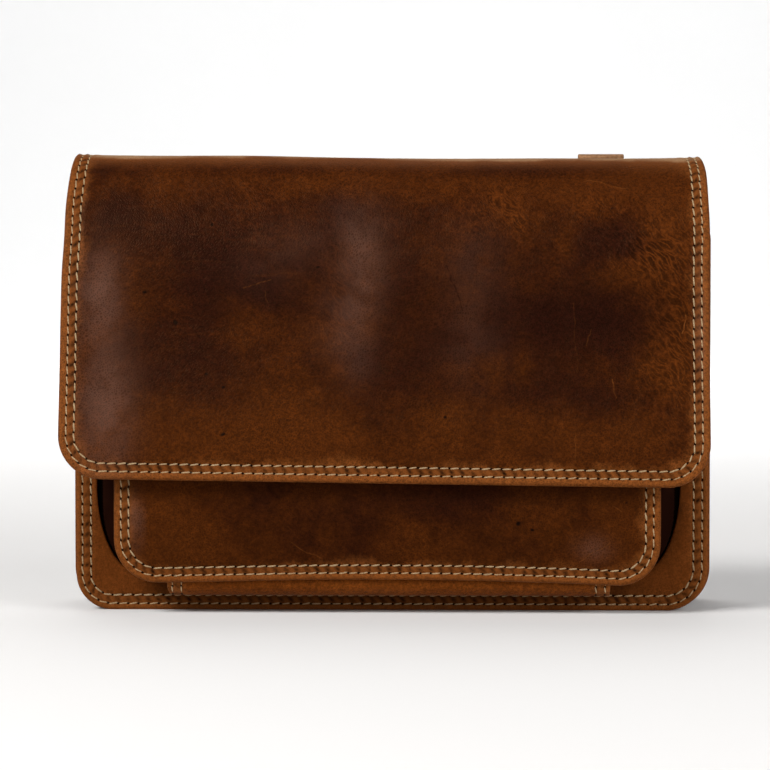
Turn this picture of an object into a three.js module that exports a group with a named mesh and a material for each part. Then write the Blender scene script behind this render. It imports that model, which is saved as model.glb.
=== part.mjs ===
// Organizer purse: a flap-over leather bag with a gusseted organizer pocket on its front.
// Millimetres, +Z up. The purse stands on Z = 0 with its front towards -Y.
// Shapes are worked out with the front panel's outer face at Y = 0, and the whole purse is
// then centred on its own box.
import * as THREE from 'three';

// Driving dimensions

const seamGap = 0.3; // clearance between two pieces that are sewn together
const leatherWall = 2.0;
const fabricWall = 1.0;
const innerWallTrim = 1; // the cloth wall is cut this much smaller than the front panel, all round

const body = { width: 266, cornerRadius: 18, frontHeight: 165, backHeight: 167, depth: 52, backLean: 4 };
const backBulge = { height: 3, low: 12, high: 134 };
const gusset = { wall: 1.8, flange: 10, flangeProud: 0.8, fold: 4 };

// The opening cut in the front panel, whose lower corners are quarter ellipses.
const opening = { halfWidth: 122, bottom: 16, top: 152, cornerWidth: 17, cornerHeight: 37, topRadius: 8 };

// The organizer is set a little to the left of the panel's centre, and so is the flap.
const organizerShift = -1.0;
const flapShift = -2.0;

const pocket = { halfWidth: 113.4, bottom: 14, top: 150, cornerRadius: 18, wall: 2.5 };
const pocketGusset = { inset: 4, halfWidth: 120, bottom: 17, cornerWidth: 16.5, cornerHeight: 26, top: 148 };
const bottomStrip = { halfLength: 92.2, low: 6.7, high: 20, bend: 5 };

const flap = { halfWidth: 134.65, wall: 3.0, cornerRadius: 18 };
const flapSeam = { low: 140, middle: 156, high: 171 };
const flapSag = { depth: 1.2, crest: 190.7 }; // the middle of the top fold sinks below its ends
const flapSkew = { drop: 3, over: 110 }; // the free edge hangs lower at the right than at the left
const strapTab = { centre: 89.8, width: 20, thickness: 4.4, low: 148, high: 193.2 };

// Outer face of the pocket's front, from its bottom edge to its top edge.
const pocketProfile = [
  { y: -19.5, z: 14 },
  { y: -21.3, z: 35 },
  { y: -20.5, z: 60 },
  { y: -15.5, z: 96 },
  { y: -12.5, z: 118 },
  { y: -9.0, z: 150 },
];

// Outer face of the flap, from above its seam on the back panel, over the top, to its free edge.
const flapProfile = [
  { y: 47.5, z: 181.5 },
  { y: 38, z: 187.8 },
  { y: 21, z: 190.7 },
  { y: 7, z: 185.5 },
  { y: -2.5, z: 174.5 },
  { y: -9.5, z: 161.5 },
  { y: -14.6, z: 143 },
  { y: -17.6, z: 118 },
  { y: -21.7, z: 96 },
  { y: -26.2, z: 76 },
  { y: -28.6, z: 55.5 },
];

// How finely the curved pieces are faceted.
const cornerSteps = 7;
const panelColumns = 12;
const panelRows = 8;
const flapRows = 30;
const pocketRows = 9;
const gussetRows = 6;
const pocketSideRows = 5;

// Finishes

const leather = { color: 0x5a2f12, roughness: 0.5, metalness: 0 };
const wornLeather = { color: 0x74421b, roughness: 0.55, metalness: 0 };
const cloth = { color: 0x1d0d09, roughness: 0.9, metalness: 0 };

// Helpers

const { lerp, clamp, smoothstep } = THREE.MathUtils;
const quarter = Math.PI / 2;

function named(name, geometry, finish) {
  const mesh = new THREE.Mesh(geometry, new THREE.MeshStandardMaterial(finish));
  mesh.name = name;
  return mesh;
}

// A smooth curve in the YZ plane through a table of { y, z } rows.
function profileCurve(rows) {
  const points = rows.map(({ y, z }) => new THREE.Vector3(0, y, z));
  return new THREE.CatmullRomCurve3(points, false, 'centripetal');
}

// Y of a profile at a given height, for a profile whose Z only rises.
function profileY(rows, z) {
  const last = rows.length - 2;
  const i = clamp(rows.filter((row) => row.z <= z).length - 1, 0, last);
  const lower = rows[i];
  const upper = rows[i + 1];
  return lerp(lower.y, upper.y, (z - lower.z) / (upper.z - lower.z));
}

// Distances from a rounded end: close together along the corner, then evenly up to the far end.
function rowsFromRoundedEnd(radius, length, straightRows) {
  const rows = [];
  for (let i = 0; i <= cornerSteps; i++) rows.push(radius * (1 - Math.cos((quarter * i) / cornerSteps)));
  for (let i = 1; i <= straightRows; i++) rows.push(lerp(radius, length, i / straightRows));
  return rows;
}

// Half width at a distance from a rounded end.
function halfWidthAt(distance, halfWidth, radius) {
  const short = Math.max(radius - distance, 0);
  return halfWidth - radius + Math.sqrt(radius * radius - short * short);
}

// A closed sheet. outer[i][j] are points of its outer face, row by row, and the wall goes
// inwards from them, against outwards if it is given or else against the face's own normal.
function sheetGeometry(outer, thickness, outwards) {
  const rowCount = outer.length;
  const columnCount = outer[0].length;
  const normalAt = (i, j) => {
    const up = outer[Math.min(i + 1, rowCount - 1)][j].clone().sub(outer[Math.max(i - 1, 0)][j]);
    const across = outer[i][Math.min(j + 1, columnCount - 1)].clone().sub(outer[i][Math.max(j - 1, 0)]);
    return across.cross(up).normalize();
  };
  const positions = [];
  for (const depth of [0, thickness]) {
    for (let i = 0; i < rowCount; i++) {
      for (let j = 0; j < columnCount; j++) {
        positions.push(...outer[i][j].clone().addScaledVector(outwards ?? normalAt(i, j), -depth));
      }
    }
  }
  const innerStart = rowCount * columnCount;
  const at = (i, j) => i * columnCount + j;
  const indices = [];
  const quad = (a, b, c, d) => indices.push(a, b, c, a, c, d);
  for (let i = 0; i < rowCount - 1; i++) {
    for (let j = 0; j < columnCount - 1; j++) {
      const corners = [at(i, j), at(i, j + 1), at(i + 1, j + 1), at(i + 1, j)];
      quad(...corners);
      quad(...corners.map((k) => k + innerStart).reverse());
    }
  }
  const rim = [];
  for (let j = 0; j < columnCount - 1; j++) rim.push(at(0, j));
  for (let i = 0; i < rowCount - 1; i++) rim.push(at(i, columnCount - 1));
  for (let j = columnCount - 1; j > 0; j--) rim.push(at(rowCount - 1, j));
  for (let i = rowCount - 1; i > 0; i--) rim.push(at(i, 0));
  rim.forEach((a, k) => {
    const b = rim[(k + 1) % rim.length];
    quad(b, a, a + innerStart, b + innerStart);
  });
  return new THREE.BufferGeometry()
    .setAttribute('position', new THREE.Float32BufferAttribute(positions, 3))
    .setIndex(indices);
}

// A solid through closed sections with the same number of points, flat at both ends.
// outline is one section's points in its own plane, for the end caps.
function loftGeometry(sections, outline) {
  const count = outline.length;
  const indices = [];
  for (let i = 0; i < sections.length - 1; i++) {
    for (let j = 0; j < count; j++) {
      const a = i * count + j;
      const b = i * count + ((j + 1) % count);
      indices.push(a, b, b + count, a, b + count, a + count);
    }
  }
  const lastStart = (sections.length - 1) * count;
  for (const [a, b, c] of THREE.ShapeUtils.triangulateShape(outline, [])) {
    indices.push(c, b, a);
    indices.push(a + lastStart, b + lastStart, c + lastStart);
  }
  return new THREE.BufferGeometry()
    .setAttribute('position', new THREE.Float32BufferAttribute(sections.flat().flatMap((p) => [...p]), 3))
    .setIndex(indices);
}

function extruded(shape, depth) {
  return new THREE.ExtrudeGeometry(shape, { depth, bevelEnabled: false, curveSegments: cornerSteps });
}

// A flat sheet cut to a shape drawn in X and Z, from frontY towards the back.
function flatSheet(shape, thickness, frontY) {
  return extruded(shape, thickness).rotateX(quarter).translate(0, frontY + thickness, 0);
}

// A bar along X with a section drawn in Y and Z, centred on X = 0.
function barAlongX(shape, length) {
  const turn = new THREE.Matrix4().makeBasis(
    new THREE.Vector3(0, 1, 0),
    new THREE.Vector3(0, 0, 1),
    new THREE.Vector3(1, 0, 0),
  );
  return extruded(shape, length).applyMatrix4(turn).translate(-length / 2, 0, 0);
}

// Outline of a panel that is round at its two lower corners.
function panelShape(halfWidth, bottom, top, radius) {
  const shape = new THREE.Shape();
  shape.moveTo(-halfWidth, top);
  shape.lineTo(-halfWidth, bottom + radius);
  shape.absarc(-halfWidth + radius, bottom + radius, radius, Math.PI, 1.5 * Math.PI, false);
  shape.lineTo(halfWidth - radius, bottom);
  shape.absarc(halfWidth - radius, bottom + radius, radius, 1.5 * Math.PI, 2 * Math.PI, false);
  shape.lineTo(halfWidth, top);
  shape.closePath();
  return shape;
}

// Body of the purse

// Y of the back panel's outer face along its edges: it leans forward towards the top.
function backPlaneY(z) {
  return body.depth - (body.backLean * z) / body.backHeight;
}

function frontPanel() {
  const { halfWidth, bottom, top, cornerWidth, cornerHeight, topRadius } = opening;
  const left = organizerShift - halfWidth;
  const right = organizerShift + halfWidth;
  const cornerZ = bottom + cornerHeight;
  const hole = new THREE.Path();
  hole.moveTo(left, cornerZ);
  hole.lineTo(left, top - topRadius);
  hole.absarc(left + topRadius, top - topRadius, topRadius, Math.PI, quarter, true);
  hole.lineTo(right - topRadius, top);
  hole.absarc(right - topRadius, top - topRadius, topRadius, quarter, 0, true);
  hole.lineTo(right, cornerZ);
  hole.absellipse(right - cornerWidth, cornerZ, cornerWidth, cornerHeight, 0, -quarter, true, 0);
  hole.lineTo(left + cornerWidth, bottom);
  hole.absellipse(left + cornerWidth, cornerZ, cornerWidth, cornerHeight, -quarter, -Math.PI, true, 0);
  const shape = panelShape(body.width / 2, 0, body.frontHeight, body.cornerRadius);
  shape.holes.push(hole);
  return named('front_panel', flatSheet(shape, leatherWall, 0), leather);
}

// Dark cloth behind the front panel's opening, sewn into the same seam.
const innerWallY = leatherWall + seamGap;

function innerWall() {
  const trim = innerWallTrim;
  const shape = panelShape(body.width / 2 - trim, trim, body.frontHeight - trim, body.cornerRadius - trim);
  return named('inner_wall', flatSheet(shape, fabricWall, innerWallY), cloth);
}

function backPanel() {
  const heights = rowsFromRoundedEnd(body.cornerRadius, body.backHeight, panelRows);
  const bulgeAt = (across, z) => {
    const rise = clamp((z - backBulge.low) / (backBulge.high - backBulge.low), 0, 1);
    return backBulge.height * Math.sin(Math.PI * rise) ** 2 * Math.cos(quarter * across) ** 2;
  };
  const outer = heights.map((z) => {
    const half = halfWidthAt(z, body.width / 2, body.cornerRadius);
    return Array.from({ length: panelColumns + 1 }, (_, j) => {
      const across = lerp(1, -1, j / panelColumns);
      return new THREE.Vector3(across * half, backPlaneY(z) + bulgeAt(across, z), z);
    });
  });
  const backwards = new THREE.Vector3(0, 1, 0);
  return named('back_panel', sheetGeometry(outer, leatherWall, backwards), leather);
}

// A band round the sides and bottom, with an outward flange along each edge. Its side walls
// fold inwards towards the top.
function sideGusset() {
  const { wall, flange, flangeProud, fold } = gusset;
  const wallHalf = body.width / 2 - flange;
  const bend = body.cornerRadius - flange;
  const frontY = innerWallY + fabricWall + seamGap;
  const stations = [];
  for (let i = 0; i < gussetRows; i++) {
    const z = lerp(body.frontHeight, body.cornerRadius, i / gussetRows);
    stations.push({ x: -wallHalf, z, angle: Math.PI });
  }
  for (let i = 0; i <= cornerSteps; i++) {
    const angle = Math.PI + (quarter * i) / cornerSteps;
    const x = bend - wallHalf + bend * Math.cos(angle);
    stations.push({ x, z: body.cornerRadius + bend * Math.sin(angle), angle });
  }
  const mirrored = stations.map(({ x, z, angle }) => ({ x: -x, z, angle: Math.PI - angle })).reverse();
  const path = [...stations, ...mirrored];

  // n is the distance out of the purse, y the depth; the channel opens outwards.
  const sectionAt = ({ x, z, angle }) => {
    const backY = backPlaneY(z) - leatherWall - seamGap;
    const middleY = (frontY + backY) / 2;
    const inward = fold * smoothstep(z, body.cornerRadius, body.frontHeight);
    const rim = flange + flangeProud * Math.cos(angle) ** 2;
    const channel = [
      { n: rim, y: frontY },
      { n: rim, y: frontY + wall },
      { n: 0, y: frontY + wall },
      { n: -inward, y: middleY },
      { n: 0, y: backY - wall },
      { n: rim, y: backY - wall },
      { n: rim, y: backY },
      { n: -wall, y: backY },
      { n: -wall - inward, y: middleY },
      { n: -wall, y: frontY },
    ];
    const inPlace = ({ n, y }) => new THREE.Vector3(x + n * Math.cos(angle), y, z + n * Math.sin(angle));
    return { points: channel.map(inPlace), outline: channel.map(({ n, y }) => new THREE.Vector2(n, y)) };
  };
  const sections = path.map(sectionAt);
  const geometry = loftGeometry(sections.map(({ points }) => points), sections[0].outline);
  return named('side_gusset', geometry, leather);
}

// Organizer pocket

function pocketFront() {
  const { halfWidth, bottom, top, cornerRadius, wall } = pocket;
  const heights = rowsFromRoundedEnd(cornerRadius, top - bottom, pocketRows);
  const outer = heights.map((rise) => {
    const z = bottom + rise;
    const half = halfWidthAt(rise, halfWidth, cornerRadius);
    return Array.from({ length: panelColumns + 1 }, (_, j) => {
      const x = organizerShift + half * lerp(-1, 1, j / panelColumns);
      return new THREE.Vector3(x, profileY(pocketProfile, z), z);
    });
  });
  return named('pocket_front', sheetGeometry(outer, wall), leather);
}

// One cloth side of the pocket: a strip that widens from the pocket's front to the inner wall.
function pocketSide(name, side) {
  const { inset, halfWidth, bottom, cornerWidth, cornerHeight, top } = pocketGusset;
  const frontRadius = pocket.cornerRadius - inset;
  const frontHalf = pocket.halfWidth - inset;
  const frontBottom = pocket.bottom + inset;
  const rearY = innerWallY - seamGap - fabricWall; // the slanted strip's inner side reaches further back
  const rows = [];
  const addRow = (frontX, frontZ, rearX, rearZ) => {
    const frontY = profileY(pocketProfile, frontZ) + pocket.wall + seamGap;
    const front = new THREE.Vector3(frontX, frontY, frontZ);
    const rear = new THREE.Vector3(rearX, rearY, rearZ);
    rows.push([front, front.clone().lerp(rear, 0.5), rear]);
  };
  for (let i = 0; i <= cornerSteps; i++) {
    const angle = (quarter * i) / cornerSteps;
    addRow(
      frontHalf - frontRadius + frontRadius * Math.sin(angle),
      frontBottom + frontRadius * (1 - Math.cos(angle)),
      halfWidth - cornerWidth + cornerWidth * Math.sin(angle),
      bottom + cornerHeight * (1 - Math.cos(angle)),
    );
  }
  for (let i = 1; i <= pocketSideRows; i++) {
    const frontZ = lerp(frontBottom + frontRadius, top, i / pocketSideRows);
    const rearZ = lerp(bottom + cornerHeight, top, i / pocketSideRows);
    addRow(frontHalf, frontZ, halfWidth, rearZ);
  }
  const mesh = named(name, sheetGeometry(rows, fabricWall), cloth);
  mesh.position.x = organizerShift;
  mesh.scale.x = side;
  return mesh;
}

// Leather strip under the pocket: a trough that joins the pocket's front to the front panel.
function pocketBottom() {
  const { halfLength, low, high, bend } = bottomStrip;
  const front = profileY(pocketProfile, pocket.bottom) + pocket.wall + seamGap;
  const back = -seamGap;
  const inner = bend - leatherWall;
  const shape = new THREE.Shape();
  shape.moveTo(front, high);
  shape.lineTo(front, low + bend);
  shape.absarc(front + bend, low + bend, bend, Math.PI, 1.5 * Math.PI, false);
  shape.lineTo(back - bend, low);
  shape.absarc(back - bend, low + bend, bend, 1.5 * Math.PI, 2 * Math.PI, false);
  shape.lineTo(back, high);
  shape.lineTo(back - leatherWall, high);
  shape.lineTo(back - leatherWall, low + bend);
  shape.absarc(back - bend, low + bend, inner, 2 * Math.PI, 1.5 * Math.PI, true);
  shape.lineTo(front + bend, low + leatherWall);
  shape.absarc(front + bend, low + bend, inner, 1.5 * Math.PI, Math.PI, true);
  shape.lineTo(front + leatherWall, high);
  shape.closePath();
  const mesh = named('pocket_bottom', barAlongX(shape, 2 * halfLength), wornLeather);
  mesh.position.x = organizerShift;
  return mesh;
}

// Flap and tab

// Y of the flap's outer face where it lies on the back panel.
function flapSeamY(z) {
  return backPlaneY(z) + seamGap + flap.wall;
}

function flapSheet() {
  const seamRows = [flapSeam.low, flapSeam.middle, flapSeam.high].map((z) => ({ y: flapSeamY(z), z }));
  const curve = profileCurve([...seamRows, ...flapProfile]);
  const length = curve.getLength();
  const fromFreeEdge = rowsFromRoundedEnd(flap.cornerRadius, length, flapRows);
  const outer = fromFreeEdge.map((distance) => {
    const { y, z } = curve.getPointAt(1 - distance / length);
    const half = halfWidthAt(distance, flap.halfWidth, flap.cornerRadius);
    const sag = flapSag.depth * smoothstep(z, flapSeam.high, flapSag.crest);
    const drop = (flapSkew.drop / 2) * smoothstep(flapSkew.over - distance, 0, flapSkew.over);
    return Array.from({ length: panelColumns + 1 }, (_, j) => {
      const across = lerp(-1, 1, j / panelColumns);
      return new THREE.Vector3(flapShift + half * across, y, z - sag * (1 - across * across) - drop * across);
    });
  });
  return named('flap', sheetGeometry(outer, flap.wall), leather);
}

// Folded tab sewn to the flap's seam at the back; its rounded top shows over the flap.
function backTab() {
  const { centre, width, thickness, low, high } = strapTab;
  const radius = thickness / 2;
  const front = flapSeamY(low) + seamGap;
  const shape = new THREE.Shape();
  shape.moveTo(front, low);
  shape.lineTo(front + thickness, low);
  shape.lineTo(front + thickness, high - radius);
  shape.absarc(front + radius, high - radius, radius, 0, Math.PI, false);
  shape.closePath();
  const mesh = named('strap_tab', barAlongX(shape, width), wornLeather);
  mesh.position.x = centre;
  return mesh;
}

const purse = new THREE.Group();
purse.add(frontPanel(), innerWall(), backPanel(), sideGusset());
purse.add(pocketFront(), pocketBottom());
purse.add(pocketSide('pocket_side_left', -1), pocketSide('pocket_side_right', 1));
purse.add(flapSheet(), backTab());

// The origin is the centre of the purse's box, on the surface that it stands on.
const centre = new THREE.Box3().setFromObject(purse).getCenter(new THREE.Vector3());
purse.position.set(-centre.x, -centre.y, 0);

export default purse;
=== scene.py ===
import math
import bpy
import numpy as np
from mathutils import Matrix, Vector


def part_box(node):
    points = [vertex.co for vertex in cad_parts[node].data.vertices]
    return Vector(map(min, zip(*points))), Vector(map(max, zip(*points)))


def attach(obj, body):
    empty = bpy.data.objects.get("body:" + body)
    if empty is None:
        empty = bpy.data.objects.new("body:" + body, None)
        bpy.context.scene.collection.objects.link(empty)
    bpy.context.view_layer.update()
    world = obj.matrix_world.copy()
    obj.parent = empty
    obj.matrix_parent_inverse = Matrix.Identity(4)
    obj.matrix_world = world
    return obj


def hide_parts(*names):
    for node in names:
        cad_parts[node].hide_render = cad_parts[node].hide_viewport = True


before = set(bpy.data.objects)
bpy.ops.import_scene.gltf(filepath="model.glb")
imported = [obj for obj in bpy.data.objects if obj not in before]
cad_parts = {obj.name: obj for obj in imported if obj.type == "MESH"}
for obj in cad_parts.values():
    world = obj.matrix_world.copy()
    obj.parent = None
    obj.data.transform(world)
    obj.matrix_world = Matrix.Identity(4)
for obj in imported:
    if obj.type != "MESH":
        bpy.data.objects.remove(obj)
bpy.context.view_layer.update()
print("frame loaded,", len(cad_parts), "nodes")

# Shapes are worked out in millimetres from the middle of the front panel's face at floor height,
# x to the right, y to the back, z up, and go into the frame's metres when a mesh gets its points.
mm = 0.001
frontLow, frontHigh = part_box("front_panel")
bagOrigin = np.array([(frontLow.x + frontHigh.x) / 2, frontLow.y, 0.0])
variation = np.random.default_rng(11)
quarterTurn, halfTurn, fullTurn = math.pi / 2, math.pi, 2 * math.pi


def nodeBox(name):  # a node's two corners in the purse's millimetres
    low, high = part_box(name)
    return (np.array(low) - bagOrigin) / mm, (np.array(high) - bagOrigin) / mm


def smooth(value, low, high):  # 0 at low, 1 at high, eased at both ends
    t = np.clip((value - low) / (high - low), 0, 1)
    return t * t * (3 - 2 * t)


def hump(value, centre, width):  # a soft ridge, 1 at its centre
    return np.exp(-(((value - centre) / width) ** 2))


def ripple(cut, a, b):  # low waves: their height, then the run and start of a wave across and up
    height, runAcross, startAcross, runUp, startUp = cut["ripple"]
    return height * np.sin(a / runAcross + startAcross) * np.sin(b / runUp + startUp)


def smoothCurve(points, steps=40):  # through all the points, evenly tight
    p = np.array(points, float)
    p = np.vstack([2 * p[0] - p[1], p, 2 * p[-1] - p[-2]])
    t = np.linspace(0, 1, steps, endpoint=False)[:, None]
    pieces = []
    for a, b, c, d in zip(p, p[1:], p[2:], p[3:]):
        ab, bc, cd = (np.linalg.norm(v) ** 0.5 for v in (b - a, c - b, d - c))
        startPull = ((b - a) / ab - (c - a) / (ab + bc) + (c - b) / bc) * bc
        endPull = ((c - b) / bc - (d - b) / (bc + cd) + (d - c) / cd) * bc
        pieces.append(
            b * (2 * t**3 - 3 * t**2 + 1) + startPull * (t**3 - 2 * t**2 + t)
            + c * (3 * t**2 - 2 * t**3) + endPull * (t**3 - t**2)
        )
    return np.vstack([*pieces, p[-2:-1]])


def readCurve(curve, at):  # a curve's second value where its first one is given
    return np.interp(at, curve[:, 0], curve[:, 1])


def runLength(line):  # distance along a line up to each of its points
    return np.concatenate([[0], np.cumsum(np.linalg.norm(np.diff(line, axis=0), axis=1))])


# Mesh helpers

def addGrid(name, columns, rows):
    bpy.ops.object.select_all(action="DESELECT")
    bpy.ops.mesh.primitive_grid_add(x_subdivisions=columns, y_subdivisions=rows, size=1, calc_uvs=False)
    grid = bpy.context.object
    grid.name = name
    flat = np.empty(len(grid.data.vertices) * 3)
    grid.data.vertices.foreach_get("co", flat)
    flat = flat.reshape(-1, 3) + 0.5
    column = np.rint(flat[:, 0] * columns).astype(int)
    row = np.rint(flat[:, 1] * rows).astype(int)
    return grid, column, row


def movePoints(piece, points):
    piece.data.vertices.foreach_set("co", (points * mm + bagOrigin).ravel())
    piece.data.update()


def pointsOf(piece):
    flat = np.empty(len(piece.data.vertices) * 3)
    piece.data.vertices.foreach_get("co", flat)
    return (flat.reshape(-1, 3) - bagOrigin) / mm


def writeMap(piece, name, u, v):  # a UV map in millimetres or stitches, one value pair for each vertex
    layer = piece.data.uv_layers.new(name=name, do_init=False)
    corner = np.empty(len(piece.data.loops), int)
    piece.data.loops.foreach_get("vertex_index", corner)
    layer.uv.foreach_set("vector", np.column_stack([u[corner], v[corner]]).astype(np.float32).ravel())


def writeSheetMaps(piece, one, two, edge, a, b):  # stitches along both rows, distance from the edge, place
    writeMap(piece, "rowOne", one, edge)
    writeMap(piece, "rowTwo", two, edge)
    writeMap(piece, "pattern", a, b)


def paint(piece, name, patches, where=None):  # soft elliptical patches, as with a large brush
    points = pointsOf(piece)
    value = np.zeros(len(points))
    for x, z, halfWidth, halfHeight, strength in patches:
        away = ((points[:, 0] - x) / halfWidth) ** 2 + ((points[:, 2] - z) / halfHeight) ** 2
        value += strength * np.exp(-away)
    if where:
        value = value * where(points)
    layer = piece.data.attributes.new(name, "FLOAT", "POINT")
    layer.data.foreach_set("value", value.astype(np.float32))


def selectOnly(*pieces):
    bpy.ops.object.select_all(action="DESELECT")
    for piece in pieces:
        piece.select_set(True)
    bpy.context.view_layer.objects.active = pieces[0]


def weld(name, *grids):  # one piece from grids that meet edge to edge
    selectOnly(*grids)
    if len(grids) > 1:
        bpy.ops.object.join()
    bpy.ops.object.mode_set(mode="EDIT")
    bpy.ops.mesh.select_all(action="SELECT")
    bpy.ops.mesh.remove_doubles(threshold=0.01 * mm)
    bpy.ops.mesh.normals_make_consistent(inside=False)
    bpy.ops.object.mode_set(mode="OBJECT")
    grids[0].name = name
    return grids[0]


def thicken(piece, wall, rounding):  # a wall to both sides of the sheet, with rounded cut edges
    selectOnly(piece)
    bpy.ops.object.modifier_add(type="SOLIDIFY")
    solid = piece.modifiers[-1]
    solid.thickness = wall * mm
    solid.offset = 0
    solid.use_even_offset = True
    bpy.ops.object.modifier_apply(modifier=solid.name)
    bpy.ops.object.modifier_add(type="BEVEL")
    rim = piece.modifiers[-1]
    rim.width = rounding * mm
    rim.segments = 2
    rim.limit_method = "ANGLE"
    rim.angle_limit = math.radians(50)  # only the cut edges are this sharp
    bpy.ops.object.modifier_apply(modifier=rim.name)


def handOver(piece, material, slot, *nodes):
    selectOnly(piece)
    bpy.ops.object.shade_smooth()
    piece.data.materials.clear()
    piece.data.materials.append(material)
    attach(piece, "root")
    if nodes:
        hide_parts(*nodes)
    print(piece.name, "done,", len(piece.data.polygons), "faces")


def handOverSewn(leather, stitches, material, node):  # a leather piece and the stitches on it
    handOver(leather, material, "leather", node)
    handOver(stitches, thread, "thread")


# Node helpers

def feed(tree, socket, value):
    if isinstance(value, bpy.types.NodeSocket):
        tree.links.new(value, socket)
    else:
        socket.default_value = value


def addNode(tree, kind, given, **settings):
    node = tree.nodes.new("ShaderNode" + kind)
    for name, value in settings.items():
        setattr(node, name, value)
    for socket, value in given.items():
        feed(tree, node.inputs[socket], value)
    return node


def calc(tree, operation, *values):
    return addNode(tree, "Math", dict(enumerate(values)), operation=operation).outputs[0]


def times(tree, a, b):
    return calc(tree, "MULTIPLY", a, b)


def timesPlus(tree, a, b, added):
    return calc(tree, "MULTIPLY_ADD", a, b, added)


def plus(tree, a, b):
    return calc(tree, "ADD", a, b)


def minus(tree, a, b):
    return calc(tree, "SUBTRACT", a, b)


def over(tree, a, b):
    return calc(tree, "DIVIDE", a, b)


def vectorCalc(tree, operation, *values):
    node = addNode(tree, "VectorMath", dict(enumerate(values)), operation=operation)
    return node.outputs["Value" if operation in ("DOT_PRODUCT", "DISTANCE") else "Vector"]


def dim(tree, color, value):
    return addNode(tree, "VectorMath", {0: color, "Scale": value}, operation="SCALE").outputs[0]


def ease(tree, value, low, high, atLow=0.0, atHigh=1.0):
    given = {0: value, 1: low, 2: high, 3: atLow, 4: atHigh}
    return addNode(tree, "MapRange", given, interpolation_type="SMOOTHSTEP").outputs[0]


def blend(tree, factor, under, above):
    return addNode(tree, "Mix", {0: factor, 6: under, 7: above}, data_type="RGBA").outputs[2]


def noise(tree, spots, scale, detail=3.0, rough=0.5, twist=0.0):
    given = {"Vector": spots, "Scale": scale, "Detail": detail, "Roughness": rough, "Distortion": twist}
    return addNode(tree, "TexNoise", given).outputs["Fac"]


def cellEdges(tree, spots, scale, width, mean):  # a net of lines, less its mean
    cells = addNode(tree, "TexVoronoi", {"Vector": spots, "Scale": scale}, feature="DISTANCE_TO_EDGE")
    return minus(tree, ease(tree, cells.outputs["Distance"], 0.0, width, 1.0, 0.0), mean)


def painted(tree, name):
    return addNode(tree, "Attribute", {}, attribute_name=name).outputs["Fac"]


def objectSpots(tree):
    return addNode(tree, "TexCoord", {}).outputs["Object"]


def seededSpots(tree, seed):  # places on the piece, moved by the seed so that no two panels match
    shift = addNode(tree, "CombineXYZ", {0: seed, 1: times(tree, seed, 1.7)})
    return vectorCalc(tree, "ADD", objectSpots(tree), shift.outputs[0])


def newGroup(name, inputs, outputs):  # inputs with their default values, and the outputs' names
    tree = bpy.data.node_groups.new(name, "ShaderNodeTree")
    for label, value in inputs.items():
        kind = {3: "Vector", 4: "Color"}[len(value)] if isinstance(value, tuple) else "Float"
        socket = tree.interface.new_socket(label, in_out="INPUT", socket_type="NodeSocket" + kind)
        socket.default_value = value
    for label in outputs:
        kind = "Color" if label == "Color" else "Float"
        tree.interface.new_socket(label, in_out="OUTPUT", socket_type="NodeSocket" + kind)
    return tree, tree.nodes.new("NodeGroupInput").outputs, tree.nodes.new("NodeGroupOutput").inputs


def useGroup(tree, group, given):
    return addNode(tree, "Group", given, node_tree=group).outputs


def newMaterial(name):
    material = bpy.data.materials.new(name)
    material.use_nodes = True
    material.node_tree.nodes.clear()
    return material, material.node_tree


def addShader(tree, given):
    shader = addNode(tree, "BsdfPrincipled", given)
    addNode(tree, "OutputMaterial", {"Surface": shader.outputs[0]})


def addBump(tree, height, strength, distance):
    return addNode(tree, "Bump", {"Height": height, "Strength": strength, "Distance": distance}).outputs[0]


# Leather: waxy pull-up hide, dark where the wax is thick, tan where it is rubbed or stretched

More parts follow.
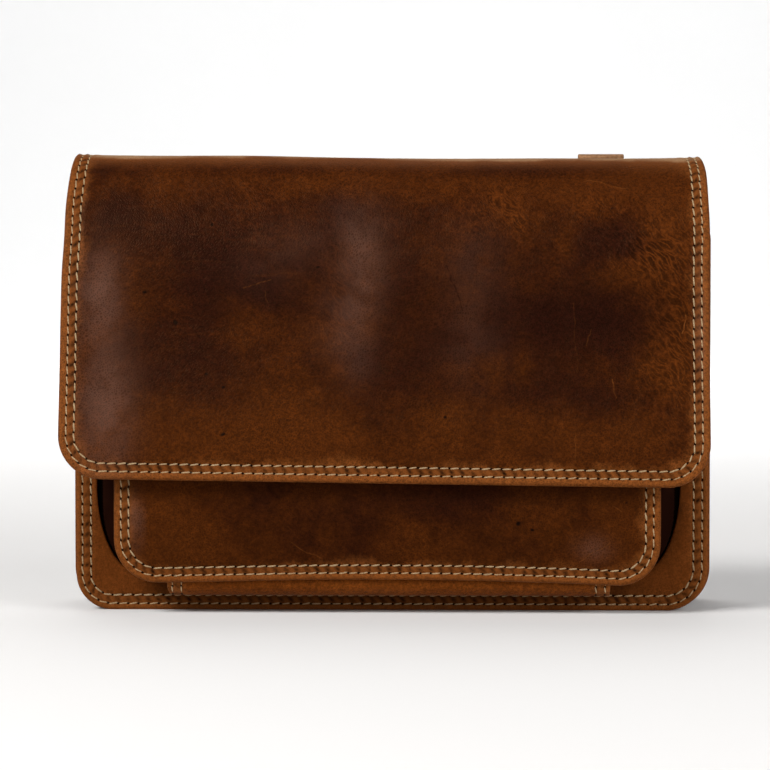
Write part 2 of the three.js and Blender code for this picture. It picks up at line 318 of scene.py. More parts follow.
def makeLeatherTone():
    pattern = {  # noise scales to a metre, and how much of each tone
        "patches": 4.0,  # to a cloud
        "speckles": 800.0,
        "wisps": 190.0,
        "smears": 45.0,
        "smearTurn": (0, 0.35, 0),
        "smearStretch": (1, 1, 8),
        "smearedPlaces": 19.0,
        "patchDepth": 0.42,
        "wispDepth": 0.4,
        "tanShare": 0.7,
        "smearShare": 0.2,
        "rimShare": 0.9,
    }
    inputs = {
        "Edge": 50.0, "Cloud": 0.0, "Rim": (0.18, 0.06, 0.016, 1), "Tan": (0.16, 0.05, 0.01, 1),
        "Brown": (0.08, 0.02, 0.005, 1), "Dark": (0.03, 0.01, 0.004, 1), "Cloud Scale": 14.0,
        "Wear Width": 9.0, "Speckle": 0.3, "Seed": 0.0,
    }
    tree, given, made = newGroup("leatherTone", inputs, ["Color", "Worn"])
    spots = seededSpots(tree, given["Seed"])
    broad = noise(tree, spots, given["Cloud Scale"], 5.0, 0.55, 0.5)
    patchy = noise(tree, spots, times(tree, given["Cloud Scale"], pattern["patches"]), 5.0, 0.6, 0.3)
    speckle = noise(tree, spots, pattern["speckles"], 3.0, 0.6)
    wisps = noise(tree, spots, pattern["wisps"], 4.0, 0.65, 0.8)
    depth = plus(tree, timesPlus(tree, patchy, pattern["patchDepth"], broad), given["Cloud"])
    waxy = ease(tree, depth, 0.5, 1.0)
    dry = timesPlus(tree, wisps, pattern["wispDepth"], minus(tree, 1.0, depth))
    rubbed = ease(tree, dry, 0.36, 0.84)
    base = blend(tree, waxy, given["Brown"], given["Dark"])
    base = blend(tree, times(tree, rubbed, pattern["tanShare"]), base, given["Tan"])
    turned = {"Vector": spots, "Rotation": pattern["smearTurn"], "Scale": pattern["smearStretch"]}
    smear = noise(tree, addNode(tree, "Mapping", turned).outputs[0], pattern["smears"], 4.0, 0.6)
    smeared = noise(tree, spots, pattern["smearedPlaces"], 2.0)
    scuff = times(tree, ease(tree, smear, 0.54, 0.74), ease(tree, smeared, 0.4, 0.62))
    base = blend(tree, times(tree, scuff, pattern["smearShare"]), base, given["Tan"])
    reach = times(tree, given["Wear Width"], ease(tree, patchy, 0.25, 0.75, 0.6, 1.5))
    edgeWear = ease(tree, over(tree, given["Edge"], reach), 0.3, 1.0, 1.0, 0.0)
    base = blend(tree, times(tree, edgeWear, pattern["rimShare"]), base, given["Rim"])
    darkest = minus(tree, 1.0, given["Speckle"])
    lightest = plus(tree, 1.0, given["Speckle"])
    shade = ease(tree, speckle, 0.3, 0.7, darkest, lightest)
    shade = times(tree, shade, ease(tree, wisps, 0.3, 0.75, 0.9, 1.12))
    feed(tree, made["Color"], dim(tree, base, shade))
    feed(tree, made["Worn"], calc(tree, "MAXIMUM", edgeWear, times(tree, rubbed, 0.6)))
    return tree


def makeLeatherGrain():
    pattern = {  # noise scales to a metre, line widths in cells
        "wobbles": 90.0,
        "wobbleReach": (0.006, 0.006, 0.006),
        "lineWidth": 0.3,
        "lineMean": 0.42,
        "linePlaces": 34.0,
        "fineGrain": 2600.0,
        "folds": 640.0,
        "foldTurn": (0, -0.68, 0),
        "foldStretch": (1, 12, 4.2),  # long on the slant, and straight through the leather's depth
        "foldWidth": 0.24,
        "foldMean": 0.36,
        "foldPlaces": 24.0,
        "pores": 75.0,
    }
    inputs = {"Grain Scale": 1000.0, "Wrinkle": 0.0, "Seed": 0.0}
    tree, given, made = newGroup("leatherGrain", inputs, ["Height", "Line", "Crease", "Pore"])
    spots = seededSpots(tree, given["Seed"])
    wobble = noise(tree, spots, pattern["wobbles"], 2.0)
    pulled = vectorCalc(tree, "MULTIPLY_ADD", wobble, pattern["wobbleReach"], spots)
    ridge = cellEdges(tree, pulled, given["Grain Scale"], pattern["lineWidth"], pattern["lineMean"])
    line = times(tree, ridge, ease(tree, noise(tree, spots, pattern["linePlaces"]), 0.36, 0.66, 0.5, 1.0))
    line = times(tree, line, timesPlus(tree, given["Wrinkle"], -0.9, 1.0))  # wrinkles take its place
    drawnOut = {"Vector": pulled, "Rotation": pattern["foldTurn"], "Scale": pattern["foldStretch"]}
    slanted = addNode(tree, "Mapping", drawnOut, vector_type="TEXTURE").outputs[0]
    folds = cellEdges(tree, slanted, pattern["folds"], pattern["foldWidth"], pattern["foldMean"])
    where = ease(tree, noise(tree, spots, pattern["foldPlaces"]), 0.5, 0.75, 0.0, 0.22)
    dots = addNode(tree, "TexVoronoi", {"Vector": spots, "Scale": pattern["pores"]}).outputs
    chance = addNode(tree, "SeparateColor", {0: dots["Color"]}).outputs[0]
    pore = ease(tree, dots["Distance"], 0.02, 0.05, 1.0, 0.0)
    height = timesPlus(tree, ridge, 0.3, times(tree, noise(tree, spots, pattern["fineGrain"], 2.0), 0.25))
    folded = times(tree, folds, given["Wrinkle"])
    feed(tree, made["Height"], timesPlus(tree, folded, 0.2, height))
    feed(tree, made["Line"], line)
    feed(tree, made["Crease"], times(tree, folds, plus(tree, where, given["Wrinkle"])))
    feed(tree, made["Pore"], times(tree, pore, ease(tree, chance, 0.8, 0.82)))  # only a fifth of them
    return tree


def makeNeedleHole():  # a dark hole where two stitches of a row meet
    inputs = {"Stitch": 0.0, "Edge": 50.0, "Row": 3.5, "Radius": 0.5}
    tree, given, made = newGroup("needleHole", inputs, ["Hole"])
    nearest = minus(tree, given["Stitch"], calc(tree, "ROUND", given["Stitch"]))
    along = times(tree, nearest, stitch["pitch"] * stitch["holeShape"])
    aside = minus(tree, given["Edge"], given["Row"])
    away = calc(tree, "SQRT", timesPlus(tree, along, along, times(tree, aside, aside)))
    feed(tree, made["Hole"], ease(tree, over(tree, away, given["Radius"]), 0.6, 1.15, 1.0, 0.0))
    return tree


def makeSeamPucker():  # painted shade and highlight for a seam's puckers: dark where the leather is drawn together beside each hole, lit where it swells between two holes
    inputs = {"Stitch": 0.0, "Edge": 50.0, "Middle": 5.0, "Width": 1.3}
    tree, given, made = newGroup("seamPucker", inputs, ["Dip", "SwellHighlight"])
    fromMiddle = minus(tree, given["Edge"], given["Middle"])
    aside = over(tree, fromMiddle, given["Width"])
    near = calc(tree, "EXPONENT", times(tree, times(tree, aside, aside), -1.0))
    slanted = timesPlus(tree, fromMiddle, 0.15, given["Stitch"])
    wave = calc(tree, "COSINE", times(tree, slanted, fullTurn))
    feed(tree, made["Dip"], times(tree, timesPlus(tree, wave, 0.5, 0.5), near))
    feed(tree, made["SwellHighlight"], times(tree, timesPlus(tree, wave, -0.5, 0.5), near))
    return tree


def makeScratch():  # a thin rubbed line between two places on the front
    inputs = {"Place": (0, 0, 0), "Start": (0, 0, 0), "End": (0, 0, 0), "Width": 0.00033}
    tree, given, made = newGroup("scratchLine", inputs, ["Scratch"])
    flat = vectorCalc(tree, "MULTIPLY", given["Place"], (1, 0, 1))
    run = vectorCalc(tree, "SUBTRACT", given["End"], given["Start"])
    out = vectorCalc(tree, "SUBTRACT", flat, given["Start"])
    share = over(tree, vectorCalc(tree, "DOT_PRODUCT", out, run), vectorCalc(tree, "DOT_PRODUCT", run, run))
    share = calc(tree, "MINIMUM", calc(tree, "MAXIMUM", share, 0.0), 1.0)
    away = vectorCalc(tree, "DISTANCE", out, dim(tree, run, share))
    feed(tree, made["Scratch"], ease(tree, over(tree, away, given["Width"]), 0.3, 1.0, 1.0, 0.0))
    return tree


def toFrame(x, z):  # a place on the front in Object coordinates, without its depth
    return (x * mm + bagOrigin[0], 0.0, z * mm)


def addScratches(tree, color, look):  # rubbed lines, dark creases and dark spots, at places on the front
    place = objectSpots(tree)
    wander = addNode(tree, "TexNoise", {"Vector": place, "Scale": 160.0}).outputs["Color"]
    place = vectorCalc(tree, "MULTIPLY_ADD", wander, (0.003, 0.003, 0.003), place)
    broken = ease(tree, noise(tree, place, 420.0, 2.0), 0.35, 0.6, 0.4, 1.0)
    for x, z, xEnd, zEnd, strength in look["scratches"]:
        ends = {"Place": place, "Start": toFrame(x, z), "End": toFrame(xEnd, zEnd)}
        mark = times(tree, useGroup(tree, scratchLine, ends)["Scratch"], broken)
        line = look["rim"] if strength > 0 else look["dark"]
        color = blend(tree, times(tree, mark, abs(strength)), color, line)
    for x, z, width in look["spots"]:
        ends = {"Place": place, "Start": toFrame(x, z), "End": toFrame(x + 0.4, z + 0.1)}
        ends["Width"] = width * mm
        color = blend(tree, useGroup(tree, scratchLine, ends)["Scratch"], color, look["spot"])
    return color


def rubAndHighlightCrest(tree, color, look):  # where a bend has drawn the wax out of the leather, and a painted highlight: the crest's top goes to a pale colour that stands in for light along the fold
    uneven = ease(tree, noise(tree, seededSpots(tree, 1.9), 48.0, 4.0, 0.6), 0.36, 0.6, 0.82, 1.0)
    rubbed = times(tree, painted(tree, "rubAndHighlight"), uneven)
    color = blend(tree, rubbed, color, look["rim"])
    return blend(tree, ease(tree, rubbed, 0.68, 1.04), color, look["paleCrestHighlight"])


def addPaintedHighlight(tree, color, look, line):  # a painted highlight: soft grey sheen patches that stand in for light on the wax, stronger on the grain's lines
    streaks = ease(tree, noise(tree, seededSpots(tree, 0.3), 85.0, 4.0), 0.3, 0.62, 0.45, 1.0)
    paintedHighlight = times(tree, painted(tree, "paintedHighlight"), streaks)
    paintedHighlight = times(tree, paintedHighlight, plus(tree, line, 1.0))
    return blend(tree, paintedHighlight, color, look["paintedHighlightColor"])


def addSeam(tree, color, height, look, maps):  # painted shade and highlight for the puckers between the two rows, and needle holes in them
    stitchAt, edge, _ = maps[0]
    middle = sum(look["rows"]) / 2
    pucker = useGroup(tree, seamPucker, {"Stitch": stitchAt, "Edge": edge, "Middle": middle})
    uneven = ease(tree, noise(tree, seededSpots(tree, 0.7), 160.0, 2.0), 0.3, 0.7, 0.3, 1.15)
    dipShade = times(tree, pucker["Dip"], uneven)
    color = dim(tree, color, timesPlus(tree, dipShade, -look["pucker"], 1.0))
    color = blend(tree, times(tree, pucker["SwellHighlight"], 0.6), color, look["rim"])
    for row, (stitchAt, edge, _) in zip(look["rows"], maps):
        hole = useGroup(tree, needleHole, {"Stitch": stitchAt, "Edge": edge, "Row": row})["Hole"]
        color = blend(tree, hole, color, look["hole"])
        height = timesPlus(tree, hole, -1.5, height)
    return color, height


def leatherMaterial(name, look):
    material, tree = newMaterial(name)
    maps = []
    for mapName in ("rowOne", "rowTwo"):
        uv = addNode(tree, "UVMap", {}, uv_map=mapName).outputs[0]
        maps.append(addNode(tree, "SeparateXYZ", {0: uv}).outputs)
    cloud = plus(tree, painted(tree, "cloud"), look["depth"]) if "clouds" in look else look["depth"]
    wrinkle = painted(tree, "wrinkle") if "wrinkles" in look else 0.0
    tone = useGroup(tree, leatherTone, {
        "Edge": maps[0][1], "Cloud": cloud, "Rim": look["rim"], "Tan": look["tan"], "Brown": look["brown"],
        "Dark": look["dark"], "Cloud Scale": look["cloudScale"], "Wear Width": look["wear"],
        "Speckle": look["speckle"], "Seed": look["seed"],
    })
    pattern = {"Grain Scale": look["grain"], "Wrinkle": wrinkle, "Seed": look["seed"]}
    grain = useGroup(tree, leatherGrain, pattern)
    color, height = tone["Color"], grain["Height"]
    if "rubsAndHighlights" in look:
        color = rubAndHighlightCrest(tree, color, look)
    # painted shadow: the colour is darkened by the painted attribute where the pocket shades the front panel
    if "shadowAndGrime" in look:
        color = dim(tree, color, minus(tree, 1.0, painted(tree, "shadowAndGrime")))
    color = dim(tree, color, timesPlus(tree, grain["Crease"], look["crease"], 1.0))
    color = dim(tree, color, timesPlus(tree, grain["Line"], look["grainLine"], 1.0))
    color = blend(tree, times(tree, grain["Pore"], 0.8), color, look["pore"])
    if "paintedHighlightColor" in look:
        color = addPaintedHighlight(tree, color, look, grain["Line"])
    if "scratches" in look:
        color = addScratches(tree, color, look)
    if "rows" in look:
        color, height = addSeam(tree, color, height, look, maps)
    roughness = ease(tree, tone["Worn"], 0.0, 1.0, look["waxyRoughness"], look["wornRoughness"])
    addShader(tree, {
        "Base Color": color, "Roughness": timesPlus(tree, grain["Line"], -0.1, roughness),
        "Normal": addBump(tree, height, look["bump"], 0.0004),
        "Specular IOR Level": look["specular"], "Specular Tint": look["glint"],
    })
    return material


leatherLook = {
    "rim": (0.165, 0.049, 0.0100, 1),
    "tan": (0.060, 0.0143, 0.0020, 1),
    "brown": (0.033, 0.0072, 0.0012, 1),
    "dark": (0.0132, 0.0028, 0.0015, 1),
    "pore": (0.006, 0.003, 0.002, 1),
    "spot": (0.004, 0.0018, 0.0012, 1),
    "hole": (0.003, 0.002, 0.0015, 1),
    "depth": -0.1,
    "cloudScale": 14.0,
    "wear": 9.0,
    "speckle": 0.3,
    "grain": 1000.0,
    "grainLine": 0.55,
    "crease": 1.1,
    # strength of the seam puckers' painted shade
    "pucker": 0.8,
    "bump": 0.52,
    "waxyRoughness": 0.4,
    "wornRoughness": 0.5,
    "specular": 0.13,
    "glint": (1.0, 0.45, 0.2, 1),
    "seed": 0.0,
}

# Stitches: one modelled, then copied along the rows

stitch = {
    "pitch": 4.3,
    "length": 3.9,
    "width": 0.82,
    "height": 0.7,
    "dive": 0.35,  # of its height, down into the needle holes at its ends
    "slant": 8.5,  # degrees
    "slantSpread": 2.5,
    "sizeSpread": 0.04,
    "lift": 0.12,
    "sunk": 0.3,
    "holeShape": 0.7,  # width of a needle hole to its length
    "strand": (1.1, 1.3),  # the twist's run along and across a stitch
    "cream": (0.39, 0.270, 0.140, 1),
    "shade": (0.205, 0.125, 0.053, 1),
    "roughness": 0.7,
}


def modelStitch():
    bpy.ops.object.select_all(action="DESELECT")
    bpy.ops.mesh.primitive_uv_sphere_add(segments=8, ring_count=6, radius=0.5)
    bead = bpy.context.object
    bpy.ops.object.mode_set(mode="EDIT")
    bpy.ops.mesh.select_all(action="SELECT")
    bpy.ops.transform.rotate(value=quarterTurn, orient_axis="Y", center_override=(0, 0, 0))
    bpy.ops.transform.resize(value=(stitch["length"], stitch["width"], stitch["height"]))
    bpy.ops.object.mode_set(mode="OBJECT")
    points = np.array([v.co for v in bead.data.vertices])
    faces = [tuple(f.vertices) for f in bead.data.polygons]
    bpy.data.objects.remove(bead)
    along = points[:, 0] / (stitch["length"] / 2)
    points[:, 2] -= stitch["dive"] * stitch["height"] * along**2
    return points, faces


stitchPoints, stitchFaces = modelStitch()


def sewStitches(name, places, scale=1.0):  # places: middle, direction and outward normal of each stitch
    middle, ahead, outward = (np.array(part, float) for part in zip(*places))
    count = len(middle)
    ahead = ahead - outward * np.sum(ahead * outward, axis=1, keepdims=True)
    ahead /= np.linalg.norm(ahead, axis=1, keepdims=True)
    aside = np.cross(outward, ahead)
    turn = np.radians(stitch["slant"] + variation.normal(0, stitch["slantSpread"], count))[:, None]
    ahead, aside = ahead * np.cos(turn) + aside * np.sin(turn), aside * np.cos(turn) - ahead * np.sin(turn)
    size = scale + variation.normal(0, stitch["sizeSpread"], (count, 1))
    local = stitchPoints[None] * size[:, :, None]
    points = middle[:, None] + outward[:, None] * (local[:, :, 2:] + stitch["lift"])
    points = points + ahead[:, None] * local[:, :, :1] + aside[:, None] * local[:, :, 1:2]
    corners = len(stitchPoints)
    faces = [tuple(i + k * corners for i in face) for k in range(count) for face in stitchFaces]
    mesh = bpy.data.meshes.new(name)
    mesh.from_pydata((points.reshape(-1, 3) * mm + bagOrigin).tolist(), [], faces)
    along, across = stitch["strand"]
    twist = stitchPoints[:, 0] / along + stitchPoints[:, 1] / across
    layer = mesh.attributes.new("twist", "FLOAT", "POINT")
    layer.data.foreach_set("value", np.tile(twist, count).astype(np.float32))
    piece = bpy.data.objects.new(name, mesh)
    bpy.context.scene.collection.objects.link(piece)
    return piece


def threadMaterial():
    material, tree = newMaterial("waxedThread")
    strand = calc(tree, "SINE", times(tree, painted(tree, "twist"), fullTurn))
    place = objectSpots(tree)
    shadowAndGrime = noise(tree, place, 260.0)
    # painted shade: the twist's grooves go to the darker, shaded thread colour
    color = blend(tree, ease(tree, strand, -1.0, 0.2, 0.3, 0.0), stitch["cream"], stitch["shade"])
    color = blend(tree, ease(tree, shadowAndGrime, 0.45, 0.75, 0.0, 0.4), color, stitch["shade"])
    fuzz = noise(tree, place, 5200.0, 2.0)
    addShader(tree, {
        "Base Color": color, "Roughness": stitch["roughness"],
        "Normal": addBump(tree, timesPlus(tree, fuzz, 0.6, strand), 0.5, 0.00015),
    })
    return material


# Cut leather panels: a border that follows the outline and wraps the rim, and a plain middle

seamRelief = {  # how far the leather stands out or sinks beside a seam, and how wide
    "roll": (0.32, 1.3),
    "pillow": (0.22, 1.1),
    "innerPillow": (0.15, 1.6),
    "innerPillowFrom": 2.2,  # past the second row
    "sunk": (0.26, 0.95),
    "pull": 0.16,  # deeper at a needle hole
    "pucker": (0.22, 1.3),
}


def outlineAt(cut, inset):  # the panel's outline moved inwards, anticlockwise from the upper left, closed
    half, length, border, step = cut["halfWidth"], cut["length"], cut["border"], cut["step"]
    radii = cut.get("leftRadius", cut["lowerRadius"]), cut["lowerRadius"], cut["upperRadius"]
    left, low, high = (max(radius, inset) for radius in radii)
    leftMitre, lowMitre, highMitre = (round((border - radius) / step) for radius in radii)
    leftArc, lowArc, highArc = (max(4, round(quarterTurn * radius / step)) for radius in radii)
    across = round(2 * (half - border) / step)
    down = round((length - 2 * border) / step)

    def run(start, first, second, end, before, between, after):
        return np.concatenate([
            np.linspace(start, first, before, endpoint=False),
            np.linspace(first, second, between, endpoint=False),
            np.linspace(second, end, after, endpoint=False),
        ])

    def arc(side, centre, radius, startAngle, count):
        angle = math.radians(startAngle) + np.linspace(0, quarterTurn, count, endpoint=False)
        return np.column_stack([side + radius * np.cos(angle), centre + radius * np.sin(angle)])

    side = run(length - high, length - border, border, left, highMitre, down, leftMitre)
    bottom = run(left - half, border - half, half - border, half - low, leftMitre, across, lowMitre)
    upward = run(low, border, length - border, length - high, lowMitre, down, highMitre)
    top = run(half - high, half - border, border - half, high - half, highMitre, across, highMitre)
    line = np.vstack([
        np.column_stack([np.full(len(side), inset - half), side]),
        arc(left - half, left, left - inset, 180, leftArc),
        np.column_stack([bottom, np.full(len(bottom), inset)]),
        arc(half - low, low, low - inset, 270, lowArc),
        np.column_stack([np.full(len(upward), half - inset), upward]),
        arc(half - high, length - high, high - inset, 0, highArc),
        np.column_stack([top, np.full(len(top), length - inset)]),
        arc(high - half, length - high, high - inset, 90, highArc),
    ])
    return np.vstack([line, line[:1]])


def stitchCount(cut, row):  # stitches before each point of the outline, on a row at that inset
    along = runLength(outlineAt(cut, row))
    return along * round(along[-1] / stitch["pitch"]) / along[-1]


def reliefAt(cut, inset, one, two):  # the rim's roll, the sunk rows and the puckers round each needle hole
    if not cut.get("rows"):
        return np.zeros(len(inset))
    rowOne, rowTwo = cut["rows"]
    between = (rowOne + rowTwo) / 2

    def swell(name, centre):
        height, width = seamRelief[name]
        return height * hump(inset, centre, width)

    pucker, puckerWidth = seamRelief["pucker"]
    pullOne, pullTwo = np.cos(fullTurn * one), np.cos(fullTurn * two)
    rise = swell("roll", 0.48 * rowOne) + swell("pillow", between)
    rise = rise + swell("innerPillow", rowTwo + seamRelief["innerPillowFrom"])
    for row, pull in ((rowOne, pullOne), (rowTwo, pullTwo)):
        rise = rise - swell("sunk", row) * (1 + seamRelief["pull"] / seamRelief["sunk"][0] * pull)
    drawn = hump(inset, between, puckerWidth) + 0.5 * hump(inset, 0.5 * rowOne, 1.0)
    return cut.get("relief", 1.0) * (rise - pucker * drawn * pullOne)


def faceInsets(cut):  # close together over the stitch rows, wider towards the middle
    near = [0.15, 0.45, 0.9, 1.5, 2.1]
    if cut.get("rows"):
        rowOne, rowTwo = cut["rows"]
        near += [rowOne - 0.7, rowOne, rowOne + 0.7, (rowOne + rowTwo) / 2]
        near += [rowTwo + past for past in (-0.7, 0, 0.7, 1.6, 2.7, 4.2)]
    return near


# inset and depth of each of the border's lines, from the middle over the rim to the back
def borderSection(cut):
    wall, border = cut["wall"], cut["border"]
    face = [(inset, max(0.0, 1.4 - inset) ** 2 * 0.16 * wall) for inset in faceInsets(cut)[::-1]]
    face = [(border, 0.0), (0.5 * (border + face[0][0]), 0.0), *face]
    groove = 0.3 if cut.get("layered") else 0.0
    rim = [(0.0, 0.42 * wall), (groove, 0.52 * wall), (0.0, 0.65 * wall)]
    back = [(0.15, wall - 0.35), (0.45, wall - 0.1), (1.0, wall), (6.0, wall), (border, wall)]
    return np.array(face + rim + back), len(face)


def outwardsAt(surface, a, b):
    reach = 0.5
    across = surface(a + reach, b) - surface(a - reach, b)
    up = surface(a, b + reach) - surface(a, b - reach)
    normal = np.cross(across, up)
    return normal / np.linalg.norm(normal, axis=1, keepdims=True)


hiddenEdge = 60.0  # added to the distance from the edge on a panel's back, where no edge wear or seam shows


def cutPanel(name, cut, surface):
    section, faceLines = borderSection(cut)
    lines = np.array([outlineAt(cut, inset) for inset, _ in section])
    band, column, row = addGrid(name, lines.shape[1] - 1, len(section) - 1)
    a, b = lines[row, column].T
    inset, depth = section[row].T
    onFace = row < faceLines
    one, two = (stitchCount(cut, r)[column] for r in cut.get("rows", (2.0, 4.0)))
    fade = 1 - smooth(b, *cut["calmFrom"]) if "calmFrom" in cut else 1.0
    rise = np.where(onFace, reliefAt(cut, inset, one, two) * fade, 0) - depth
    movePoints(band, surface(a, b) + outwardsAt(surface, a, b) * rise[:, None])
    writeSheetMaps(band, one, two, np.where(depth > 0.7 * cut["wall"], hiddenEdge + inset, inset), a, b)
    parts = [band]
    half, length, border = cut["halfWidth"], cut["length"], cut["border"]
    across = round(2 * (half - border) / cut["step"])
    down = round((length - 2 * border) / cut["step"])
    for depth, hidden in ((0.0, 0.0), (cut["wall"], hiddenEdge)):
        middle, column, row = addGrid(name + "Middle", across, down)
        a = (half - border) * (2 * column / across - 1)
        b = border + (length - 2 * border) * row / down
        movePoints(middle, surface(a, b) - outwardsAt(surface, a, b) * depth)
        edge = np.minimum(np.minimum(half - np.abs(a), b), length - b) + hidden
        writeSheetMaps(middle, 0 * a, 0 * a, edge, a, b)
        parts.append(middle)
    return weld(name, *parts)


def panelStitches(name, cut, surface):
    places = []
    for row in cut["rows"]:
        line = outlineAt(cut, row)
        along = runLength(line)
        count = round(along[-1] / stitch["pitch"])
        number = np.arange(count)

        def placesAt(share):  # a and b of the places that lie this share along each stitch
            at = (number + share) * along[-1] / count
            return [np.interp(at, along, line[:, axis]) for axis in (0, 1)]

        a, b = placesAt(0.5)
        ahead = surface(*placesAt(0.9)) - surface(*placesAt(0.1))
        normal = outwardsAt(surface, a, b)
        middle = surface(a, b) - normal * stitch["sunk"] * cut.get("relief", 1.0)
        kept = b < cut.get("sewnUpTo", cut["length"])
        places += list(zip(middle[kept], ahead[kept], normal[kept]))
    return sewStitches(name, places)


leatherTone = makeLeatherTone()
leatherGrain = makeLeatherGrain()
needleHole = makeNeedleHole()
seamPucker = makeSeamPucker()
scratchLine = makeScratch()
thread = threadMaterial()
print("finishes ready")

# what the sewn panels share
panelCut = {"border": 18.0, "lowerRadius": 18.0, "upperRadius": 9.0, "wall": 2.0}

# Back panel, leaning forward a little and bulged in its middle

frontBoxHigh = nodeBox("front_panel")[1]
backHigh = nodeBox("back_panel")[1]

backPanel = {
    **panelCut,
    "halfWidth": frontBoxHigh[0],
    "length": backHigh[2],
    "step": 1.45,
    "rows": (2.7, 6.3),
    "calmFrom": (130, 137),  # flat where the flap is sewn over it
    "sewnUpTo": 137,
    "depth": 52.0,
    "lean": 4.0,
    "bulge": 3.0,
    "bulgeSpan": (12.0, 134.0),
    "ripple": (0.25, 21.0, 1.3, 17.0, 0.0),
}


def backPlaneY(z):
    return backPanel["depth"] - backPanel["lean"] * z / backPanel["length"]


def backSurface(a, b):
    low, high = backPanel["bulgeSpan"]
    rise = np.clip((b - low) / (high - low), 0, 1)
    across = np.clip(a / backPanel["halfWidth"], -1, 1)
    bulge = backPanel["bulge"] * np.sin(halfTurn * rise) ** 2 * np.cos(quarterTurn * across) ** 2
    waves = ripple(backPanel, a, b) * np.sin(halfTurn * rise)
    return np.column_stack([-a, backPlaneY(b) + bulge + waves, b])


backLook = {**leatherLook, "rows": backPanel["rows"], "seed": 3.1, "depth": -0.04}
backLeather = cutPanel("backPanelLeather", backPanel, backSurface)
backStitches = panelStitches("backPanelStitches", backPanel, backSurface)
handOverSewn(backLeather, backStitches, leatherMaterial("backLeather", backLook), "back_panel")

# Flap: sewn to the back, over the top and down the front

flapLow, flapHigh = nodeBox("flap")

flap = {
    **panelCut,
    "halfWidth": (flapHigh[0] - flapLow[0]) / 2,
    "shift": (flapHigh[0] + flapLow[0]) / 2 - 0.7,
    "upperRadius": 3.0,
    "wall": 3.0,
    "layered": True,
    "step": 1.25,
    "rows": (3.3, 6.6),
    "relief": 1.1,
    "seamGap": 0.3,
    "seamHeights": (140.0, 156.0, 171.0),
    "sag": 1.2,
    "sagSpan": (171.0, 190.7),
    "skewDrop": 1.8,
    "skewReach": 110.0,
    "frontRun": (130.0, 165.0),  # from the free edge, over which the front's dents and swells fade
    "crestSpan": (165.0, 190.0),
    "sideSpan": (0.3, 1.0),  # of the half width, over which a side is drawn in
    "crestLift": [
        (-134, 1.4), (-100, 1.5), (-58, 1.9), (-15, 1.2), (20, 0.8), (70, 0.6), (105, 0.1), (134, 0.0),
    ],
    # how far each side edge is drawn in, at heights up the front
    "leftDrawnIn": [
        (120, 0), (143, 0.35), (150, 0.7), (158, 1.0), (170, 1.0), (176, 1.25), (183, 1.7), (191, 2.3),
    ],
    "rightDrawnIn": [
        (120, 0), (146, -0.1), (158, -0.5), (165, -0.5), (172, -0.35), (180, -0.2), (186, 0.1), (191, 1),
    ],
    # outer face in y and z, from above the seam on the back, over the top, to the free edge
    "profile": [
        (47.5, 181.5), (38, 187.8), (21, 190.7), (7, 185.5), (-2.5, 174.5), (-9.5, 161.5),
        (-14.6, 143), (-17.6, 118), (-21.7, 96), (-26.2, 76), (-28.6, 55.5),
    ],
    # dents and swells: x, height, half width, half height, how far it stands out
    "swells": [
        (-12, 140, 16, 34, -0.9), (-118, 110, 14, 40, -0.8), (30, 120, 40, 30, 0.7),
        (85, 105, 30, 24, -0.6), (-60, 95, 34, 26, 0.7), (105, 150, 22, 16, 0.5), (-75, 160, 30, 12, 0.4),
    ],
}

seamRows = [(backPlaneY(z) + flap["seamGap"] + flap["wall"], z) for z in flap["seamHeights"]]
flapLine = smoothCurve(seamRows + flap["profile"])[::-1]
crestCurve, leftCurve, rightCurve = (
    smoothCurve(flap[name]) for name in ("crestLift", "leftDrawnIn", "rightDrawnIn")
)
flapRun = runLength(flapLine)
flap["length"] = flapRun[-1]


def flapSurface(a, b):
    y = np.interp(b, flapRun, flapLine[:, 0])
    z = np.interp(b, flapRun, flapLine[:, 1])
    across = np.clip(a / flap["halfWidth"], -1, 1)
    onFront = 1 - smooth(b, *flap["frontRun"])
    for x, height, halfWidth, halfHeight, out in flap["swells"]:
        y = y - onFront * out * np.exp(-(((a - x) / halfWidth) ** 2) - ((z - height) / halfHeight) ** 2)
    z = z - flap["sag"] * (1 - across**2) * smooth(z, *flap["sagSpan"])
    z = z - flap["skewDrop"] * across * smooth(flap["skewReach"] - b, 0, flap["skewReach"])
    z = z + readCurve(crestCurve, a) * smooth(z, *flap["crestSpan"])
    pull = readCurve(leftCurve, z) * smooth(-across, *flap["sideSpan"])
    pull = pull - readCurve(rightCurve, z) * smooth(across, *flap["sideSpan"])
    return np.column_stack([flap["shift"] + a + pull, y, z])


def onFlapFront(points):
    return smooth(20 - points[:, 1], 0, 12)


